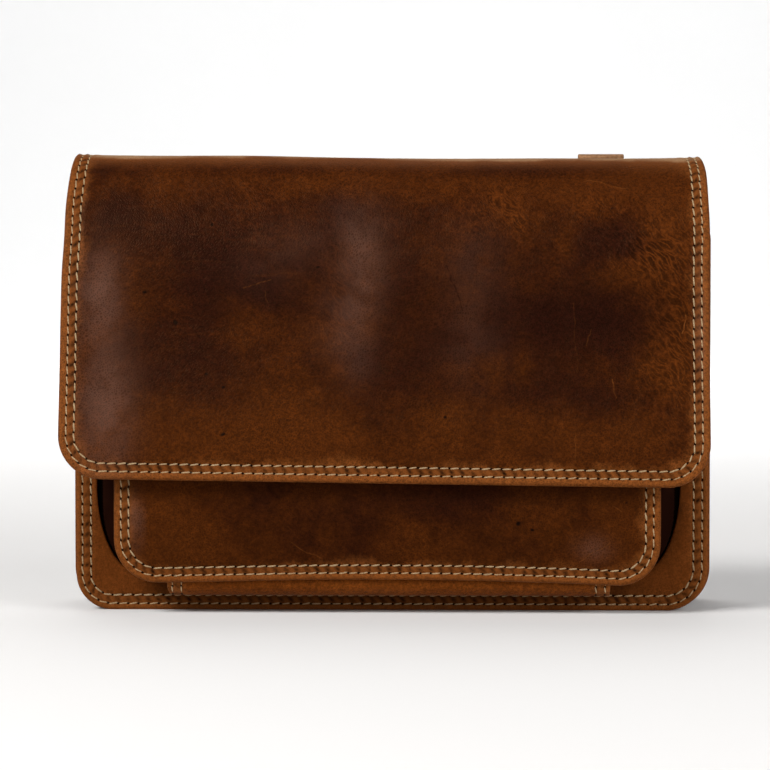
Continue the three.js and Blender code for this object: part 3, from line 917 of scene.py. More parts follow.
flapLook = {
    **leatherLook,
    "rows": flap["rows"],
    "wear": 10.0,
    "paintedHighlightColor": (0.152, 0.077, 0.053, 1),
    "paleCrestHighlight": (0.30, 0.165, 0.080, 1),
    # darker or lighter clouds: x, height, half width, half height, strength, as in the next three tables
    "clouds": [
        (-51, 148, 34, 28, 0.13), (-85, 130, 24, 38, 0.16), (29, 122, 36, 42, 0.17), (82, 119, 34, 20, 0.34),
        (96, 154, 26, 12, 0.14), (-111, 167, 18, 10, 0.16), (4, 92, 22, 18, 0.2), (-10, 170, 36, 10, 0.06),
        (-98, 101, 16, 12, 0.2), (92, 88, 30, 10, 0.26), (-86, 163, 30, 9, 0.14), (-94, 150, 16, 10, 0.14),
        (-82, 138, 12, 12, 0.14), (2, 138, 9, 14, 0.14), (-24, 104, 28, 14, 0.17), (-24, 86, 28, 8, 0.1),
        (0, 184, 120, 3.5, 0.06), (118, 170, 14, 20, -0.34), (105, 180, 30, 8, -0.28),
        (119, 90, 11, 36, -0.12), (-57, 73, 60, 11, -0.14), (70, 77, 60, 11, -0.04), (58, 177, 46, 7, -0.22),
        (-40, 178, 18, 6, -0.16), (28, 78, 16, 13, -0.18), (45, 175, 4, 5, -0.12), (49, 170, 4, 5, -0.14),
        (53, 165, 4, 5, -0.14), (57, 160, 4, 5, -0.1), (83, 172, 9, 5, -0.16), (73, 155, 5, 7, -0.18),
        (54, 104, 4, 8, -0.14), (43, 99, 4, 6, -0.1), (25, 178, 4, 6, -0.12), (34, 165, 4, 5, -0.1),
        (-50, 181, 42, 3, -0.12), (95, 142, 10, 6, -0.2), (70, 124, 22, 10, 0.1), (101, 125, 12, 9, 0.08),
        (50, 92, 22, 9, 0.1),
    ],
    # painted highlights: pale patches that stand in for the sheen of light on the wax, also along the crest
    # and between the right-hand rows
    "paintedHighlights": [
        (-15, 161, 12, 12, 0.14), (-11, 148, 10, 14, 0.17), (-14, 134, 9, 14, 0.15), (-19, 120, 11, 14, 0.17),
        (-14, 104, 7, 9, 0.08), (-121, 134, 9, 17, 0.42), (-118, 87, 11, 25, 0.38), (-37, 156, 13, 9, 0.06),
        (-50, 146, 14, 12, 0.06), (34, 145, 13, 17, 0.08), (34, 114, 12, 18, 0.08), (128, 120, 1.8, 34, 0.35),
        (24, 191.5, 70, 2.8, 0.55),
    ],
    # rubbed wax along the crest, with a painted highlight along its top
    "rubsAndHighlights": [
        (-75, 192.2, 80, 3.4, 1.0), (75, 191.2, 80, 3.4, 1.0), (118, 190, 20, 4.5, 0.5),
        (-118, 191.5, 20, 4, 0.35), (30, 191, 50, 3.6, 0.35),
    ],
    "wrinkles": [
        (104, 156, 26, 12, 0.4), (116, 148, 14, 16, 0.4), (118, 120, 14, 24, 0.62), (46, 166, 22, 12, 0.25),
        (44, 174, 5, 6, 0.4), (49, 168, 5, 6, 0.4), (54, 161, 5, 6, 0.4), (32, 168, 5, 6, 0.3),
        (38, 161, 5, 6, 0.3), (-21, 135, 7, 26, 0.6), (85, 172, 22, 8, 0.3), (-118, 86, 10, 24, 0.2),
        (-60, 168, 40, 12, 0.2), (115, 92, 13, 24, 0.4), (-60, 140, 50, 24, 0.12), (103, 150, 12, 7, 0.3),
        (72, 150, 8, 10, 0.3),
    ],
    # rubbed lines, or dark creases where the strength is negative: x and height of both ends, strength
    "scratches": [
        (82, 182, 89.2, 181.5, 0.4), (89.2, 181.5, 93.7, 179.2, 0.4), (93.7, 179.2, 100.5, 178.6, 0.4),
        (77, 131, 79, 102, 0.12), (84.6, 120, 82.2, 113, 0.2), (93, 100, 95, 92, 0.4),
        (78, 77, 77.5, 65, 0.25), (123.5, 126, 122.5, 118.5, 0.75), (-60, 137, -48, 141, 0.22),
        (-51, 136, -49.5, 131, 0.18), (24.3, 146.4, 28, 138, -0.9), (28, 138, 31.5, 128, -0.9),
    ],
    # x, height and half width
    "spots": [
        (-101, 136, 1.0), (-88, 123, 1.3), (-73, 163, 0.8), (-75, 102, 0.8), (-68, 96, 0.9), (-68, 77, 1.0),
        (-29, 146, 0.9), (24, 84, 0.8),
    ],
}
flapLeather = cutPanel("flapLeather", flap, flapSurface)
paint(flapLeather, "cloud", flapLook["clouds"], onFlapFront)
paint(flapLeather, "paintedHighlight", flapLook["paintedHighlights"], onFlapFront)
paint(flapLeather, "wrinkle", flapLook["wrinkles"], onFlapFront)
paint(flapLeather, "rubAndHighlight", flapLook["rubsAndHighlights"])
flapStitches = panelStitches("flapStitches", flap, flapSurface)
handOverSewn(flapLeather, flapStitches, leatherMaterial("flapLeather", flapLook), "flap")

# Organizer pocket: its leather front

pocketLow, pocketHigh = nodeBox("pocket_front")
pocketDrop = 0.8  # below the frame's lower edge

pocket = {
    **panelCut,
    "halfWidth": (pocketHigh[0] - pocketLow[0]) / 2,
    "shift": (pocketHigh[0] + pocketLow[0]) / 2 - 0.5,
    "bottom": pocketLow[2] - pocketDrop,
    "length": pocketHigh[2] - pocketLow[2] + pocketDrop,
    "upperRadius": 3.0,
    "wall": 2.5,
    "layered": True,
    "step": 1.4,
    "rows": (3.0, 6.2),
    # outer face in z and y, from the bottom edge to the top edge
    "profile": [(14, -19.5), (35, -21.3), (60, -20.5), (96, -15.5), (118, -12.5), (150, -9.0)],
    "crown": 0.8,
    "crownHeight": (46.0, 18.0),
    "crownWidth": 70.0,
    "ripple": (0.3, 23.0, 0.0, 13.0, 0.0),
    "rippleRise": (4.0, 20.0),
    "rippleFade": (60.0, 90.0),
    # how far its lower edge is lifted, at places along it, and the heights over which that fades
    "edgeLift": [
        (-113, 0), (-95, 0.1), (-62, 0.7), (-25, 1.35), (12, 1.35), (37, 1.1), (62, 0.45), (78, 0),
        (99, -0.9), (113, -1.3),
    ],
    "liftFade": (9.0, 40.0),
}
pocketCurve, liftCurve = smoothCurve(pocket["profile"]), smoothCurve(pocket["edgeLift"])


def pocketFaceY(z):
    return readCurve(pocketCurve, z)


def pocketSurface(a, b):
    lift = readCurve(liftCurve, a) * (1 - smooth(b, *pocket["liftFade"]))
    z = pocket["bottom"] + b + lift
    crown = pocket["crown"] * hump(a, 0, pocket["crownWidth"]) * hump(z, *pocket["crownHeight"])
    waves = ripple(pocket, a, b) * smooth(b, *pocket["rippleRise"]) * (1 - smooth(b, *pocket["rippleFade"]))
    return np.column_stack([pocket["shift"] + a, pocketFaceY(z) - crown - waves, z])


pocketLook = {
    **leatherLook,
    "rows": pocket["rows"],
    "seed": 5.3,
    "depth": -0.11,
    "speckle": 0.24,
    "grainLine": 0.45,
    "paintedHighlightColor": flapLook["paintedHighlightColor"],
    "clouds": [
        (5, 37, 55, 18, 0.08), (-20, 46, 60, 8, 0.08), (-92, 25, 18, 12, -0.14), (96, 28, 16, 14, -0.12),
    ],
    # painted highlights: pale patches that stand in for the sheen of light on the wax
    "paintedHighlights": [(-106, 38, 2.6, 10, 0.36), (84, 28, 7, 5, 0.2)],
    "scratches": [(93, 47, 97, 44.5, 0.4), (-40, 32, -28, 25, 0.3), (80, 24, 92, 32, 0.3)],
    "spots": [(54, 39.5, 1.1), (60, 37, 0.8)],
}
pocketLeather = cutPanel("pocketLeather", pocket, pocketSurface)
paint(pocketLeather, "cloud", pocketLook["clouds"])
paint(pocketLeather, "paintedHighlight", pocketLook["paintedHighlights"])
pocketStitches = panelStitches("pocketStitches", pocket, pocketSurface)
handOverSewn(pocketLeather, pocketStitches, leatherMaterial("pocketLeather", pocketLook), "pocket_front")

# Front panel: a frame of leather round the opening behind the pocket

frontPanel = {
    **panelCut,
    "halfWidth": frontBoxHigh[0],
    "length": frontBoxHigh[2],
    "leftRadius": 15.0,
    "step": 1.1,
    "rows": (2.6, 6.2),
    "relief": 0.9,
    "sewnUpTo": 158,
    "ripple": (0.25, 26.0, 0.6, 19.0, quarterTurn),
    "rippleRise": (0.0, 12.0),
    "openingHalfWidth": 122.6,
    "openingShift": -1.6,
    "openingBottom": 16.0,
    "openingTop": 152.0,
    "scoopWidth": 17.0,
    "scoopHeight": 37.0,
    "keptBorder": 8.2,  # the border follows the outline up to here, then eases to the opening's edge
    # from the outer edge to there, close together over the stitch rows
    "faceInsets": [0.15, 0.45, 0.9, 1.5, 1.9, 2.6, 3.2, 3.8, 4.4, 5.0, 5.6, 6.2, 6.8, 7.5, 8.2],
    # share of the way on to the opening's edge, and depth below the face
    "scoopFace": [(0.3, 0.0), (0.6, 0.0), (0.85, 0.0), (0.97, 0.1), (1.0, 0.45)],
    "scoopBack": [(0.5, 2.0), (0.97, 1.95), (1.0, 1.55)],
    "rimDepths": (0.7, 1.3),
    # inset and depth of the back's lines
    "backLines": [(0.3, 1.8), (1.0, 2.0), (5.0, 2.0), (8.2, 2.0)],
}


def openingLine():  # the opening's edge beside each point of the panel's outline
    left = frontPanel["openingShift"] - frontPanel["openingHalfWidth"]
    right = frontPanel["openingShift"] + frontPanel["openingHalfWidth"]
    scoopTop = frontPanel["openingBottom"] + frontPanel["scoopHeight"]
    outline = outlineAt(frontPanel, frontPanel["keptBorder"])
    x = np.clip(outline[:, 0], left, right)
    z = np.clip(outline[:, 1], frontPanel["openingBottom"], frontPanel["openingTop"])
    along = runLength(outline)
    for side, edgeX in ((-1, left), (1, right)):
        ellipseX = edgeX - side * frontPanel["scoopWidth"]
        onSide = outline[:, 0] * side > 0
        inScoop = onSide & (outline[:, 1] < scoopTop) & (outline[:, 0] * side > ellipseX * side)
        share = along[inScoop] - along[inScoop].min()
        share = share / share.max()
        angle = quarterTurn * (share if side < 0 else 1 - share)
        x[inScoop] = ellipseX + side * frontPanel["scoopWidth"] * np.cos(angle)
        z[inScoop] = scoopTop - frontPanel["scoopHeight"] * np.sin(angle)
    return np.column_stack([x, z])


def frontSurface(a, b):
    return np.column_stack([a, -ripple(frontPanel, a, b) * smooth(b, *frontPanel["rippleRise"]), b])


def cutFrontPanel(name):
    cut = frontPanel
    border = cut["keptBorder"]
    kept, edge = outlineAt(cut, border), openingLine()
    # line, distance from the edge and depth of each part of the section
    face = [(outlineAt(cut, i), i, max(0.0, 1.4 - i) ** 2 * 0.3) for i in cut["faceInsets"][::-1]]
    scoop = [(kept + (edge - kept) * t, border + 3 * t, depth) for t, depth in cut["scoopFace"][::-1]]
    rim = [(outlineAt(cut, 0.0), 0.0, depth) for depth in cut["rimDepths"]]
    back = [(outlineAt(cut, i), hiddenEdge + i, depth) for i, depth in cut["backLines"]]
    back += [(kept + (edge - kept) * t, hiddenEdge + 10, depth) for t, depth in cut["scoopBack"]]
    section = scoop + face + rim + back + scoop[:1]  # closed round the leather
    lines = np.array([line for line, _, _ in section])
    ring, column, row = addGrid(name, lines.shape[1] - 1, len(section) - 1)
    a, b = lines[row, column].T
    inset = np.array([edgeAt for _, edgeAt, _ in section])[row]
    depth = np.array([d for _, _, d in section])[row]
    one, two = (stitchCount(cut, r)[column] for r in cut["rows"])
    onFace = row < len(scoop) + len(face)
    rise = np.where(onFace, reliefAt(cut, inset, one, two), 0) - depth
    movePoints(ring, frontSurface(a, b) + outwardsAt(frontSurface, a, b) * rise[:, None])
    writeSheetMaps(ring, one, two, inset, a, b)
    return weld(name, ring)


frontLook = {
    **leatherLook,
    "rows": frontPanel["rows"],
    "seed": 7.9,
    "depth": -0.28,
    "wear": 9.0,
    "tan": (0.128, 0.0345, 0.0060, 1),
    "brown": (0.098, 0.0240, 0.0038, 1),
    "speckle": 0.18,
    "grainLine": 0.35,
    # painted shadow under and beside the pocket, where it shades the panel: x, height, half width, half
    # height, strength
    "shadowAndGrime": [
        (0, 5.2, 95, 2.4, 0.6), (97, 10, 11, 3.8, 0.5), (92, 5, 8, 2.6, 0.3), (-98, 10, 7, 3.8, 0.35),
        (120, 48, 3.2, 16, 0.4), (115, 29, 4.5, 9, 0.35), (108, 19, 6, 5, 0.3),
    ],
}
frontLeather = cutFrontPanel("frontPanelLeather")
paint(frontLeather, "shadowAndGrime", frontLook["shadowAndGrime"])
frontStitches = panelStitches("frontPanelStitches", frontPanel, frontSurface)
handOverSewn(frontLeather, frontStitches, leatherMaterial("frontLeather", frontLook), "front_panel")

# Gusset: a band round the sides and the bottom, with a flange along each edge

gusset = {
    "wallHalf": frontBoxHigh[0] - 10.0,
    "height": frontBoxHigh[2],
    "cornerRadius": 18.0,
    "cornerSteps": 22,
    "bend": 8.0,
    "wall": 1.8,
    "rounding": 0.45,
    "flange": 10.0,
    "flangeProud": 0.8,
    "flangeSteps": 8,
    "topRadius": 9.0,
    "frontY": 3.2,
    "backGap": 1.95,
    "rootRadius": 2.5,
    "rootSteps": 5,
    "fold": 4.0,
    "foldSteps": 19,
    "rootEdge": 12.0,  # taken as the root's and the wall's distance from a flange's edge
    "wallEdge": 20.0,
    "crumple": 0.5,
    "step": 1.8,
}


def gussetPath():  # x, z and outward angle, down the left side, along the bottom and up the right side
    half, radius, bend, step = gusset["wallHalf"], gusset["cornerRadius"], gusset["bend"], gusset["step"]
    down = 1.5 * halfTurn
    side = np.linspace(gusset["height"], radius, round((gusset["height"] - radius) / step), endpoint=False)
    angle = np.linspace(halfTurn, down, gusset["cornerSteps"], endpoint=False)
    floor = np.linspace(bend - half, half - bend, round(2 * (half - bend) / step), endpoint=False)
    left = np.column_stack([np.full(len(side), -half), side, np.full(len(side), halfTurn)])
    corner = np.column_stack([bend - half + bend * np.cos(angle), radius + bend * np.sin(angle), angle])
    bottom = np.column_stack([floor, np.full(len(floor), radius - bend), np.full(len(floor), down)])
    mirrored = np.vstack([left, corner, [[bend - half, radius - bend, down]]])[::-1]
    mirrored = mirrored * (-1, 1, -1) + (0, 0, 3 * halfTurn)
    return np.vstack([left, corner, bottom, mirrored])


def gussetSection(path):  # outward distance and depth of each line, and its distance from a flange's edge
    wall, root = gusset["wall"], gusset["rootRadius"]
    _, z, angle = path.T
    front = np.full(len(z), gusset["frontY"] + wall / 2)
    back = backPlaneY(z) - gusset["backGap"] - wall / 2
    tip = gusset["flange"] + gusset["flangeProud"] * np.cos(angle) ** 2
    pastCorner = np.clip(z - gusset["height"] + gusset["topRadius"], 0, gusset["topRadius"])
    tip = tip - gusset["topRadius"] + np.sqrt(gusset["topRadius"] ** 2 - 0.95 * pastCorner**2)
    fold = gusset["fold"] * smooth(z, gusset["cornerRadius"], gusset["height"])
    wallN = -wall / 2
    lines = []
    for t in np.linspace(0, 1, gusset["flangeSteps"], endpoint=False):
        lines.append((tip + (wallN + root - tip) * t, front, (tip - wallN - root) * t))
    for t in np.linspace(0, quarterTurn, gusset["rootSteps"], endpoint=False):
        out = wallN + root - root * np.sin(t) + 0 * z
        lines.append((out, front + root - root * np.cos(t), gusset["rootEdge"] + 0 * z))
    frontLines = lines[::-1]
    for t in np.linspace(0, 1, gusset["foldSteps"]):
        depth = front + root + (back - front - 2 * root) * t
        lines.append((wallN - fold * np.sin(halfTurn * t) ** 1.3, depth, gusset["wallEdge"] + 0 * z))
    for n, depth, edge in frontLines:
        lines.append((n, front + back - depth, edge))
    return [np.array(part).T for part in zip(*lines)]


def bendGusset(name):
    path = gussetPath()
    n, depth, edge = gussetSection(path)
    band, column, row = addGrid(name, len(path) - 1, n.shape[1] - 1)
    x, z, angle = path[column].T
    out, y, edgeAt = n[column, row], depth[column, row], edge[column, row]
    along = runLength(path[:, :2])[column]
    onWall = hump(row / (n.shape[1] - 1), 0.5, 0.22)
    crumple = np.sin(along / 9 + y / 8) * np.sin(along / 23 + 1) + 0.4 * np.sin(y / 3.5)
    out = out + gusset["crumple"] * onWall * crumple
    movePoints(band, np.column_stack([x + out * np.cos(angle), y, z + out * np.sin(angle)]))
    writeSheetMaps(band, along / stitch["pitch"], along / stitch["pitch"], edgeAt, along, y)
    thicken(band, gusset["wall"], gusset["rounding"])
    return weld(name, band)


def gussetStitches(name):  # the seams' other side, on the flanges' hidden faces
    places = []
    for cut, facing in ((frontPanel, 1.0), (backPanel, -1.0)):
        for row in cut["rows"]:
            line = outlineAt({**cut, "leftRadius": gusset["cornerRadius"]}, row)
            x, z = line[:np.argmax(line[:, 1] > cut["length"] - cut["upperRadius"] + 0.5)].T
            along = runLength(np.column_stack([x, z]))
            spots = np.arange(2.0, along[-1] - 2, stitch["pitch"])
            sx, sz = np.interp(spots, along, x), np.interp(spots, along, z)
            ahead = np.column_stack([np.gradient(sx), 0 * sx, np.gradient(sz)])
            flangeY = gusset["frontY"] + 0 * sz if facing > 0 else backPlaneY(sz) - gusset["backGap"]
            middle = np.column_stack([sx, flangeY + facing * (gusset["wall"] - 0.15), sz])
            kept = np.abs(np.gradient(sx)) + np.abs(np.gradient(sz)) < 2 * stitch["pitch"]
            places += [(m, a, (0, facing, 0)) for m, a in zip(middle[kept], ahead[kept])]
    return sewStitches(name, places)


gussetLook = {**leatherLook, "seed": 9.7, "depth": -0.1, "wear": 5.0}
gussetThread = gussetStitches("gussetStitches")
gussetLeather = bendGusset("gussetLeather")
handOverSewn(gussetLeather, gussetThread, leatherMaterial("gussetLeather", gussetLook), "side_gusset")

# Rolled strip under the pocket

stripLow, stripHigh = nodeBox("pocket_bottom")

strip = {
    "half": (stripHigh[0] - stripLow[0]) / 2,
    "middle": (stripHigh[0] + stripLow[0]) / 2,
    "wall": 2.0,
    "rounding": 0.5,
    "bend": 5.0,
    "raise": 0.6,
    "belly": 0.9,
    "bellyHeight": (5.5, 4.0),
    "ripple": (0.35, 14.0, 0.7, 37.0, 0.0),
    "seamDent": 0.25,
    "endRound": 5.5,
    "columns": 170,
    "frontRows": 17,
    "rows": (2.2, 6.0),  # stitch rows from each end
    "stitches": 3,
    "stitchScale": 0.68,
    "firstStitch": 3.8,  # height of the lowest stitch's middle above the strip's low edge
}
stripPitch = stitch["pitch"] * strip["stitchScale"]


def stripSection():  # y and z of the strip's middle layer, down its front, under and up its back
    half, bend = strip["wall"] / 2, strip["bend"]
    front, back = stripLow[1] + half, stripHigh[1] - half
    low, high = stripLow[2] + half + strip["raise"], stripHigh[2]
    angle = np.linspace(0, quarterTurn, 9)
    down = [(front, z) for z in np.linspace(high, low + bend, 8, endpoint=False)]
    turn = [(front + bend - bend * math.cos(t), low + bend - bend * math.sin(t)) for t in angle]
    under = [(y, low) for y in np.linspace(front + bend, back - bend, 7)[1:-1]]
    upTurn = [(back - bend + bend * math.sin(t), low + bend - bend * math.cos(t)) for t in angle]
    up = [(back, z) for z in np.linspace(low + bend, high, 7)[1:]]
    return np.array(down + turn + under + upTurn + up)


def stripSwell(x, z):  # how far the strip's front stands out
    bellyHeight, bellyReach = strip["bellyHeight"]
    dent = strip["seamDent"] * hump(np.abs(x), strip["half"] - 4.2, 1.4)
    belly = strip["belly"] * hump(z, stripLow[2] + bellyHeight, bellyReach)
    return (ripple(strip, x, x) - dent + belly) * smooth(stripHigh[2] - z, 1, 5)


def rollStrip(name):
    section = stripSection()
    sheet, column, row = addGrid(name, strip["columns"], len(section) - 1)
    y, z = section[row].T
    share = 2 * column / strip["columns"] - 1
    x = share * strip["half"]
    droop = np.maximum(0, stripLow[2] + strip["endRound"] - z)  # the left end's lower corner is rounded off
    pullIn = strip["endRound"] - np.sqrt(np.maximum(0, strip["endRound"] ** 2 - droop**2))
    x = x + np.where(share < 0, pullIn, 0) * smooth(-share, 0.9, 1.0)
    y = y - np.where(row < strip["frontRows"], stripSwell(x, z), 0)
    movePoints(sheet, np.column_stack([strip["middle"] + x, y, z]))
    stitchAt = (z - stripLow[2] - strip["firstStitch"]) / stripPitch + 0.5
    stitchAt = np.clip(stitchAt, -0.5, strip["stitches"] + 0.5)
    writeSheetMaps(sheet, stitchAt, stitchAt, strip["half"] - np.abs(x), x, z)
    thicken(sheet, strip["wall"], strip["rounding"])
    return weld(name, sheet)


def stripStitches(name):
    places = []
    for end in (-1, 1):
        for fromEnd in strip["rows"]:
            for k in range(strip["stitches"]):
                x = end * (strip["half"] - fromEnd)
                z = stripLow[2] + strip["firstStitch"] + k * stripPitch
                middle = (strip["middle"] + x, stripLow[1] - stripSwell(x, z), z)
                places.append((middle, (0, 0, 1), (0, -1, 0)))
    return sewStitches(name, places, strip["stitchScale"])


stripLook = {
    **leatherLook,
    "rim": (0.180, 0.056, 0.0125, 1),
    "tan": (0.150, 0.039, 0.0052, 1),
    "brown": (0.102, 0.0243, 0.0030, 1),
    "dark": (0.045, 0.0105, 0.0021, 1),
    "seed": 12.3,
    "depth": -0.25,
    "crease": 0.7,
    "grainLine": 0.35,
}
stripLeather = rollStrip("pocketStripLeather")
stripThread = stripStitches("pocketStripStitches")
stripFinish = leatherMaterial("stripLeather", {**stripLook, "rows": strip["rows"], "pucker": 0.4})
handOverSewn(stripLeather, stripThread, stripFinish, "pocket_bottom")

# Strap tab: a strip folded over itself, sewn to the back

tabLow, tabHigh = nodeBox("strap_tab")

tab = {
    "half": (tabHigh[0] - tabLow[0]) / 2,
    "middle": (tabHigh[0] + tabLow[0]) / 2,
    "layer": 2.05,
    "rounding": 0.5,
    "waist": 0.25,  # pulled in a little between its ends
    "waistHeight": (24.0, 16.0),
    "columns": 16,
    "row": 2.4,  # stitch row from each side
    "firstStitch": 3.4,  # below its top
    "lowRow": 3.0,  # above its lower end
    "shownStitches": 2,  # on the front, above the flap
}


def tabPath():  # y and z of the strip's middle, up its front layer, round the fold and down its back layer
    front, back = tabLow[1] + tab["layer"] / 2, tabHigh[1] - tab["layer"] / 2
    radius = (back - front) / 2
    top = tabHigh[2] - radius - tab["layer"] / 2
    rise = np.linspace(tabLow[2], top, 34)
    angle = np.linspace(0, halfTurn, 12)[1:-1]
    fold = [((front + back) / 2 - radius * math.cos(t), top + radius * math.sin(t)) for t in angle]
    return np.array([(front, z) for z in rise] + fold + [(back, z) for z in rise[::-1]])


def foldTab(name):
    path = tabPath()
    along = runLength(path)
    sheet, column, row = addGrid(name, tab["columns"], len(path) - 1)
    y, z = path[row].T
    share = 2 * column / tab["columns"] - 1
    waistHeight, waistReach = tab["waistHeight"]
    waist = tab["waist"] * hump(z, tabLow[2] + waistHeight, waistReach)
    movePoints(sheet, np.column_stack([tab["middle"] + share * (tab["half"] - waist), y, z]))
    edge = np.minimum(tab["half"] * (1 - np.abs(share)), np.minimum(along[row], along[-1] - along[row]))
    edge = np.minimum(edge, np.abs(along[row] - along[-1] / 2))  # the fold is rubbed as the edges are, and gets the pale rim colour that is also a painted highlight along its top
    writeSheetMaps(sheet, 0 * z, 0 * z, edge, share * tab["half"], along[row])
    thicken(sheet, tab["layer"], tab["rounding"])
    return weld(name, sheet)


def tabStitches(name):
    places = []
    upright, level, toFront, toBack = (0, 0, 1), (1, 0, 0), (0, -1, 0), (0, 1, 0)
    count = int((tabHigh[2] - tabLow[2] - 4) / stitch["pitch"])
    for side in (-1, 1):
        x = tab["middle"] + side * (tab["half"] - tab["row"])
        for y, outward, shown in ((tabHigh[1], toBack, count), (tabLow[1], toFront, tab["shownStitches"])):
            for k in range(shown):
                z = tabHigh[2] - tab["firstStitch"] - k * stitch["pitch"]
                places.append(((x, y, z), upright, outward))
    for k in (-1, 0, 1):
        x = tab["middle"] + k * stitch["pitch"]
        places.append(((x, tabHigh[1], tabLow[2] + tab["lowRow"]), level, toBack))
    return sewStitches(name, places)


# a pale rim, partly rubbed wear and partly a painted highlight on the fold's top
tabLook = {**stripLook, "seed": 15.1, "wear": 5.0, "rim": (0.275, 0.150, 0.078, 1)}
tabLeather = foldTab("strapTabLeather")
tabThread = tabStitches("strapTabStitches")
handOverSewn(tabLeather, tabThread, leatherMaterial("tabLeather", tabLook), "strap_tab")

# Cloth: the wall behind the opening and the two sides of the pocket

def makeClothWeave():
    inputs = {"Place": (0, 0, 0), "Yarn": 0.55}
    tree, given, made = newGroup("clothWeave", inputs, ["Height", "Over"])
    parts = addNode(tree, "SeparateXYZ", {0: given["Place"]}).outputs
    turns = [over(tree, times(tree, part, halfTurn), given["Yarn"]) for part in parts[:2]]
    warp, weft = (calc(tree, "SINE", turn) for turn in turns)
    warpOver = ease(tree, times(tree, warp, weft), -0.15, 0.15)
    warpUp = times(tree, calc(tree, "ABSOLUTE", warp), warpOver)
    weftUp = times(tree, calc(tree, "ABSOLUTE", weft), minus(tree, 1.0, warpOver))
    feed(tree, made["Height"], plus(tree, warpUp, weftUp))
    feed(tree, made["Over"], warpOver)
    return tree


def clothMaterial(name, look):
    material, tree = newMaterial(name)
    place = addNode(tree, "UVMap", {}, uv_map="pattern").outputs[0]
    weave = useGroup(tree, clothWeave, {"Place": place, "Yarn": look["yarn"]})
    fade = noise(tree, seededSpots(tree, look["seed"]), 45.0, 4.0)
    color = blend(tree, weave["Over"], look["warp"], look["weft"])
    color = blend(tree, ease(tree, fade, 0.35, 0.7, 0.0, 0.5), color, look["faded"])
    addShader(tree, {
        "Base Color": color, "Roughness": ease(tree, weave["Height"], 0.0, 1.0, 0.95, 0.8),
        "Normal": addBump(tree, weave["Height"], 0.6, 0.0002), "Specular IOR Level": 0.0,
    })
    return material


clothWeave = makeClothWeave()
clothLook = {
    "warp": (0.0142, 0.0043, 0.0024, 1),
    "weft": (0.0080, 0.0024, 0.0014, 1),
    "faded": (0.0175, 0.0056, 0.0031, 1),
    "yarn": 0.55,
    "seed": 2.0,
}
# the same cloth made near-black: a painted shade for the deep shadow in the gap behind the opening
shadedWallLook = {
    **clothLook,
    "warp": (0.0034, 0.0013, 0.0008, 1),
    "weft": (0.0022, 0.0009, 0.0006, 1),
    "faded": (0.0042, 0.0016, 0.0010, 1),
}

wallLow, wallHigh = nodeBox("inner_wall")

innerWall = {
    "halfWidth": wallHigh[0],
    "bottom": wallLow[2],
    "length": wallHigh[2] - wallLow[2],
    "border": 17.0,
    "lowerRadius": 17.0,
    "upperRadius": 9.0,
    "wall": wallHigh[1] - frontPanel["wall"] + 0.15,  # fills the seam between the panel and the gusset
    "step": 4.0,
    "slack": 0.9,
}


def wallSurface(a, b):  # hangs a little slack towards the back between its seams
    slack = innerWall["slack"] * np.cos(quarterTurn * np.clip(a / innerWall["halfWidth"], -1, 1)) ** 2
    slack = slack * np.sin(halfTurn * np.clip(b / innerWall["length"], 0, 1)) ** 2
    z = innerWall["bottom"] + b
    return np.column_stack([a, frontSurface(a, z)[:, 1] + frontPanel["wall"] + slack, z])


wallCloth = cutPanel("innerWallCloth", innerWall, wallSurface)
handOver(wallCloth, clothMaterial("innerWallCloth", shadedWallLook), "cloth", "inner_wall")

pocketSide = {
    "inset": 4.0,
    "halfWidth": 120.0,
    "bottom": 17.0,
    "cornerWidth": 16.5,
    "cornerHeight": 26.0,
    "top": 148.0,
    "rearY": 1.0,
    "gap": -0.1,  # sewn into the pocket's back
    "wall": 0.9,
    "rounding": 0.2,
    "pleat": 1.1,
    "crease": 0.5,
    "columns": 14,
    "cornerRows": 36,
    "sideRows": 170,
    "fray": 0.85,
}


def hangPocketSide(name, side):
    cut, columns = pocketSide, pocketSide["columns"]
    angle = np.linspace(0, quarterTurn, cut["cornerRows"], endpoint=False)
    rise = np.linspace(0, 1, cut["sideRows"])

    def cornerAndSide(half, low, width, height):  # x and z along a quarter ellipse, then up
        x = np.concatenate([half - width + width * np.sin(angle), np.full(len(rise), half)])
        straight = low + height + (cut["top"] - low - height) * rise
        return x, np.concatenate([low + height - height * np.cos(angle), straight])

    frontHalf, frontBottom = pocket["halfWidth"] - cut["inset"], pocket["bottom"] + cut["inset"]
    frontRadius = pocket["lowerRadius"] - cut["inset"]
    frontX, frontZ = cornerAndSide(frontHalf, frontBottom, frontRadius, frontRadius)
    rearX, rearZ = cornerAndSide(cut["halfWidth"], cut["bottom"], cut["cornerWidth"], cut["cornerHeight"])
    frontLine = np.column_stack([frontX, pocketFaceY(frontZ) + pocket["wall"] + cut["gap"], frontZ])
    rearLine = np.column_stack([rearX, np.full(len(rearX), cut["rearY"]), rearZ])
    sheet, column, row = addGrid(name, columns, len(frontX) - 1)
    share = (column / columns)[:, None]
    points = frontLine[row] * (1 - share) + rearLine[row] * share
    drawnIn = cut["pleat"] * np.sin(halfTurn * share[:, 0]) - cut["crease"] * hump(share[:, 0], 0.8, 0.07)
    points[:, 0] -= drawnIn * smooth(row / len(frontX), 0.09, 0.47)
    points[:, 0] -= np.where((column == columns) & (row % 2 == 1), cut["fray"], 0)  # a rough cut edge
    points[:, 0] = pocket["shift"] + side * points[:, 0]
    movePoints(sheet, points)
    width = np.linalg.norm(rearLine - frontLine, axis=1)[row]
    writeMap(sheet, "pattern", share[:, 0] * width, runLength(rearLine)[row])
    thicken(sheet, cut["wall"], cut["rounding"])
    return weld(name, sheet)


for label, side in (("Left", -1), ("Right", 1)):
    sideCloth = hangPocketSide("pocketSideCloth" + label, side)
    sideFinish = clothMaterial("pocketSideCloth" + label, {**clothLook, "seed": 4.0 + side})
    handOver(sideCloth, sideFinish, "cloth", "pocket_side_" + label.lower())

# Floor and backdrop, light and camera

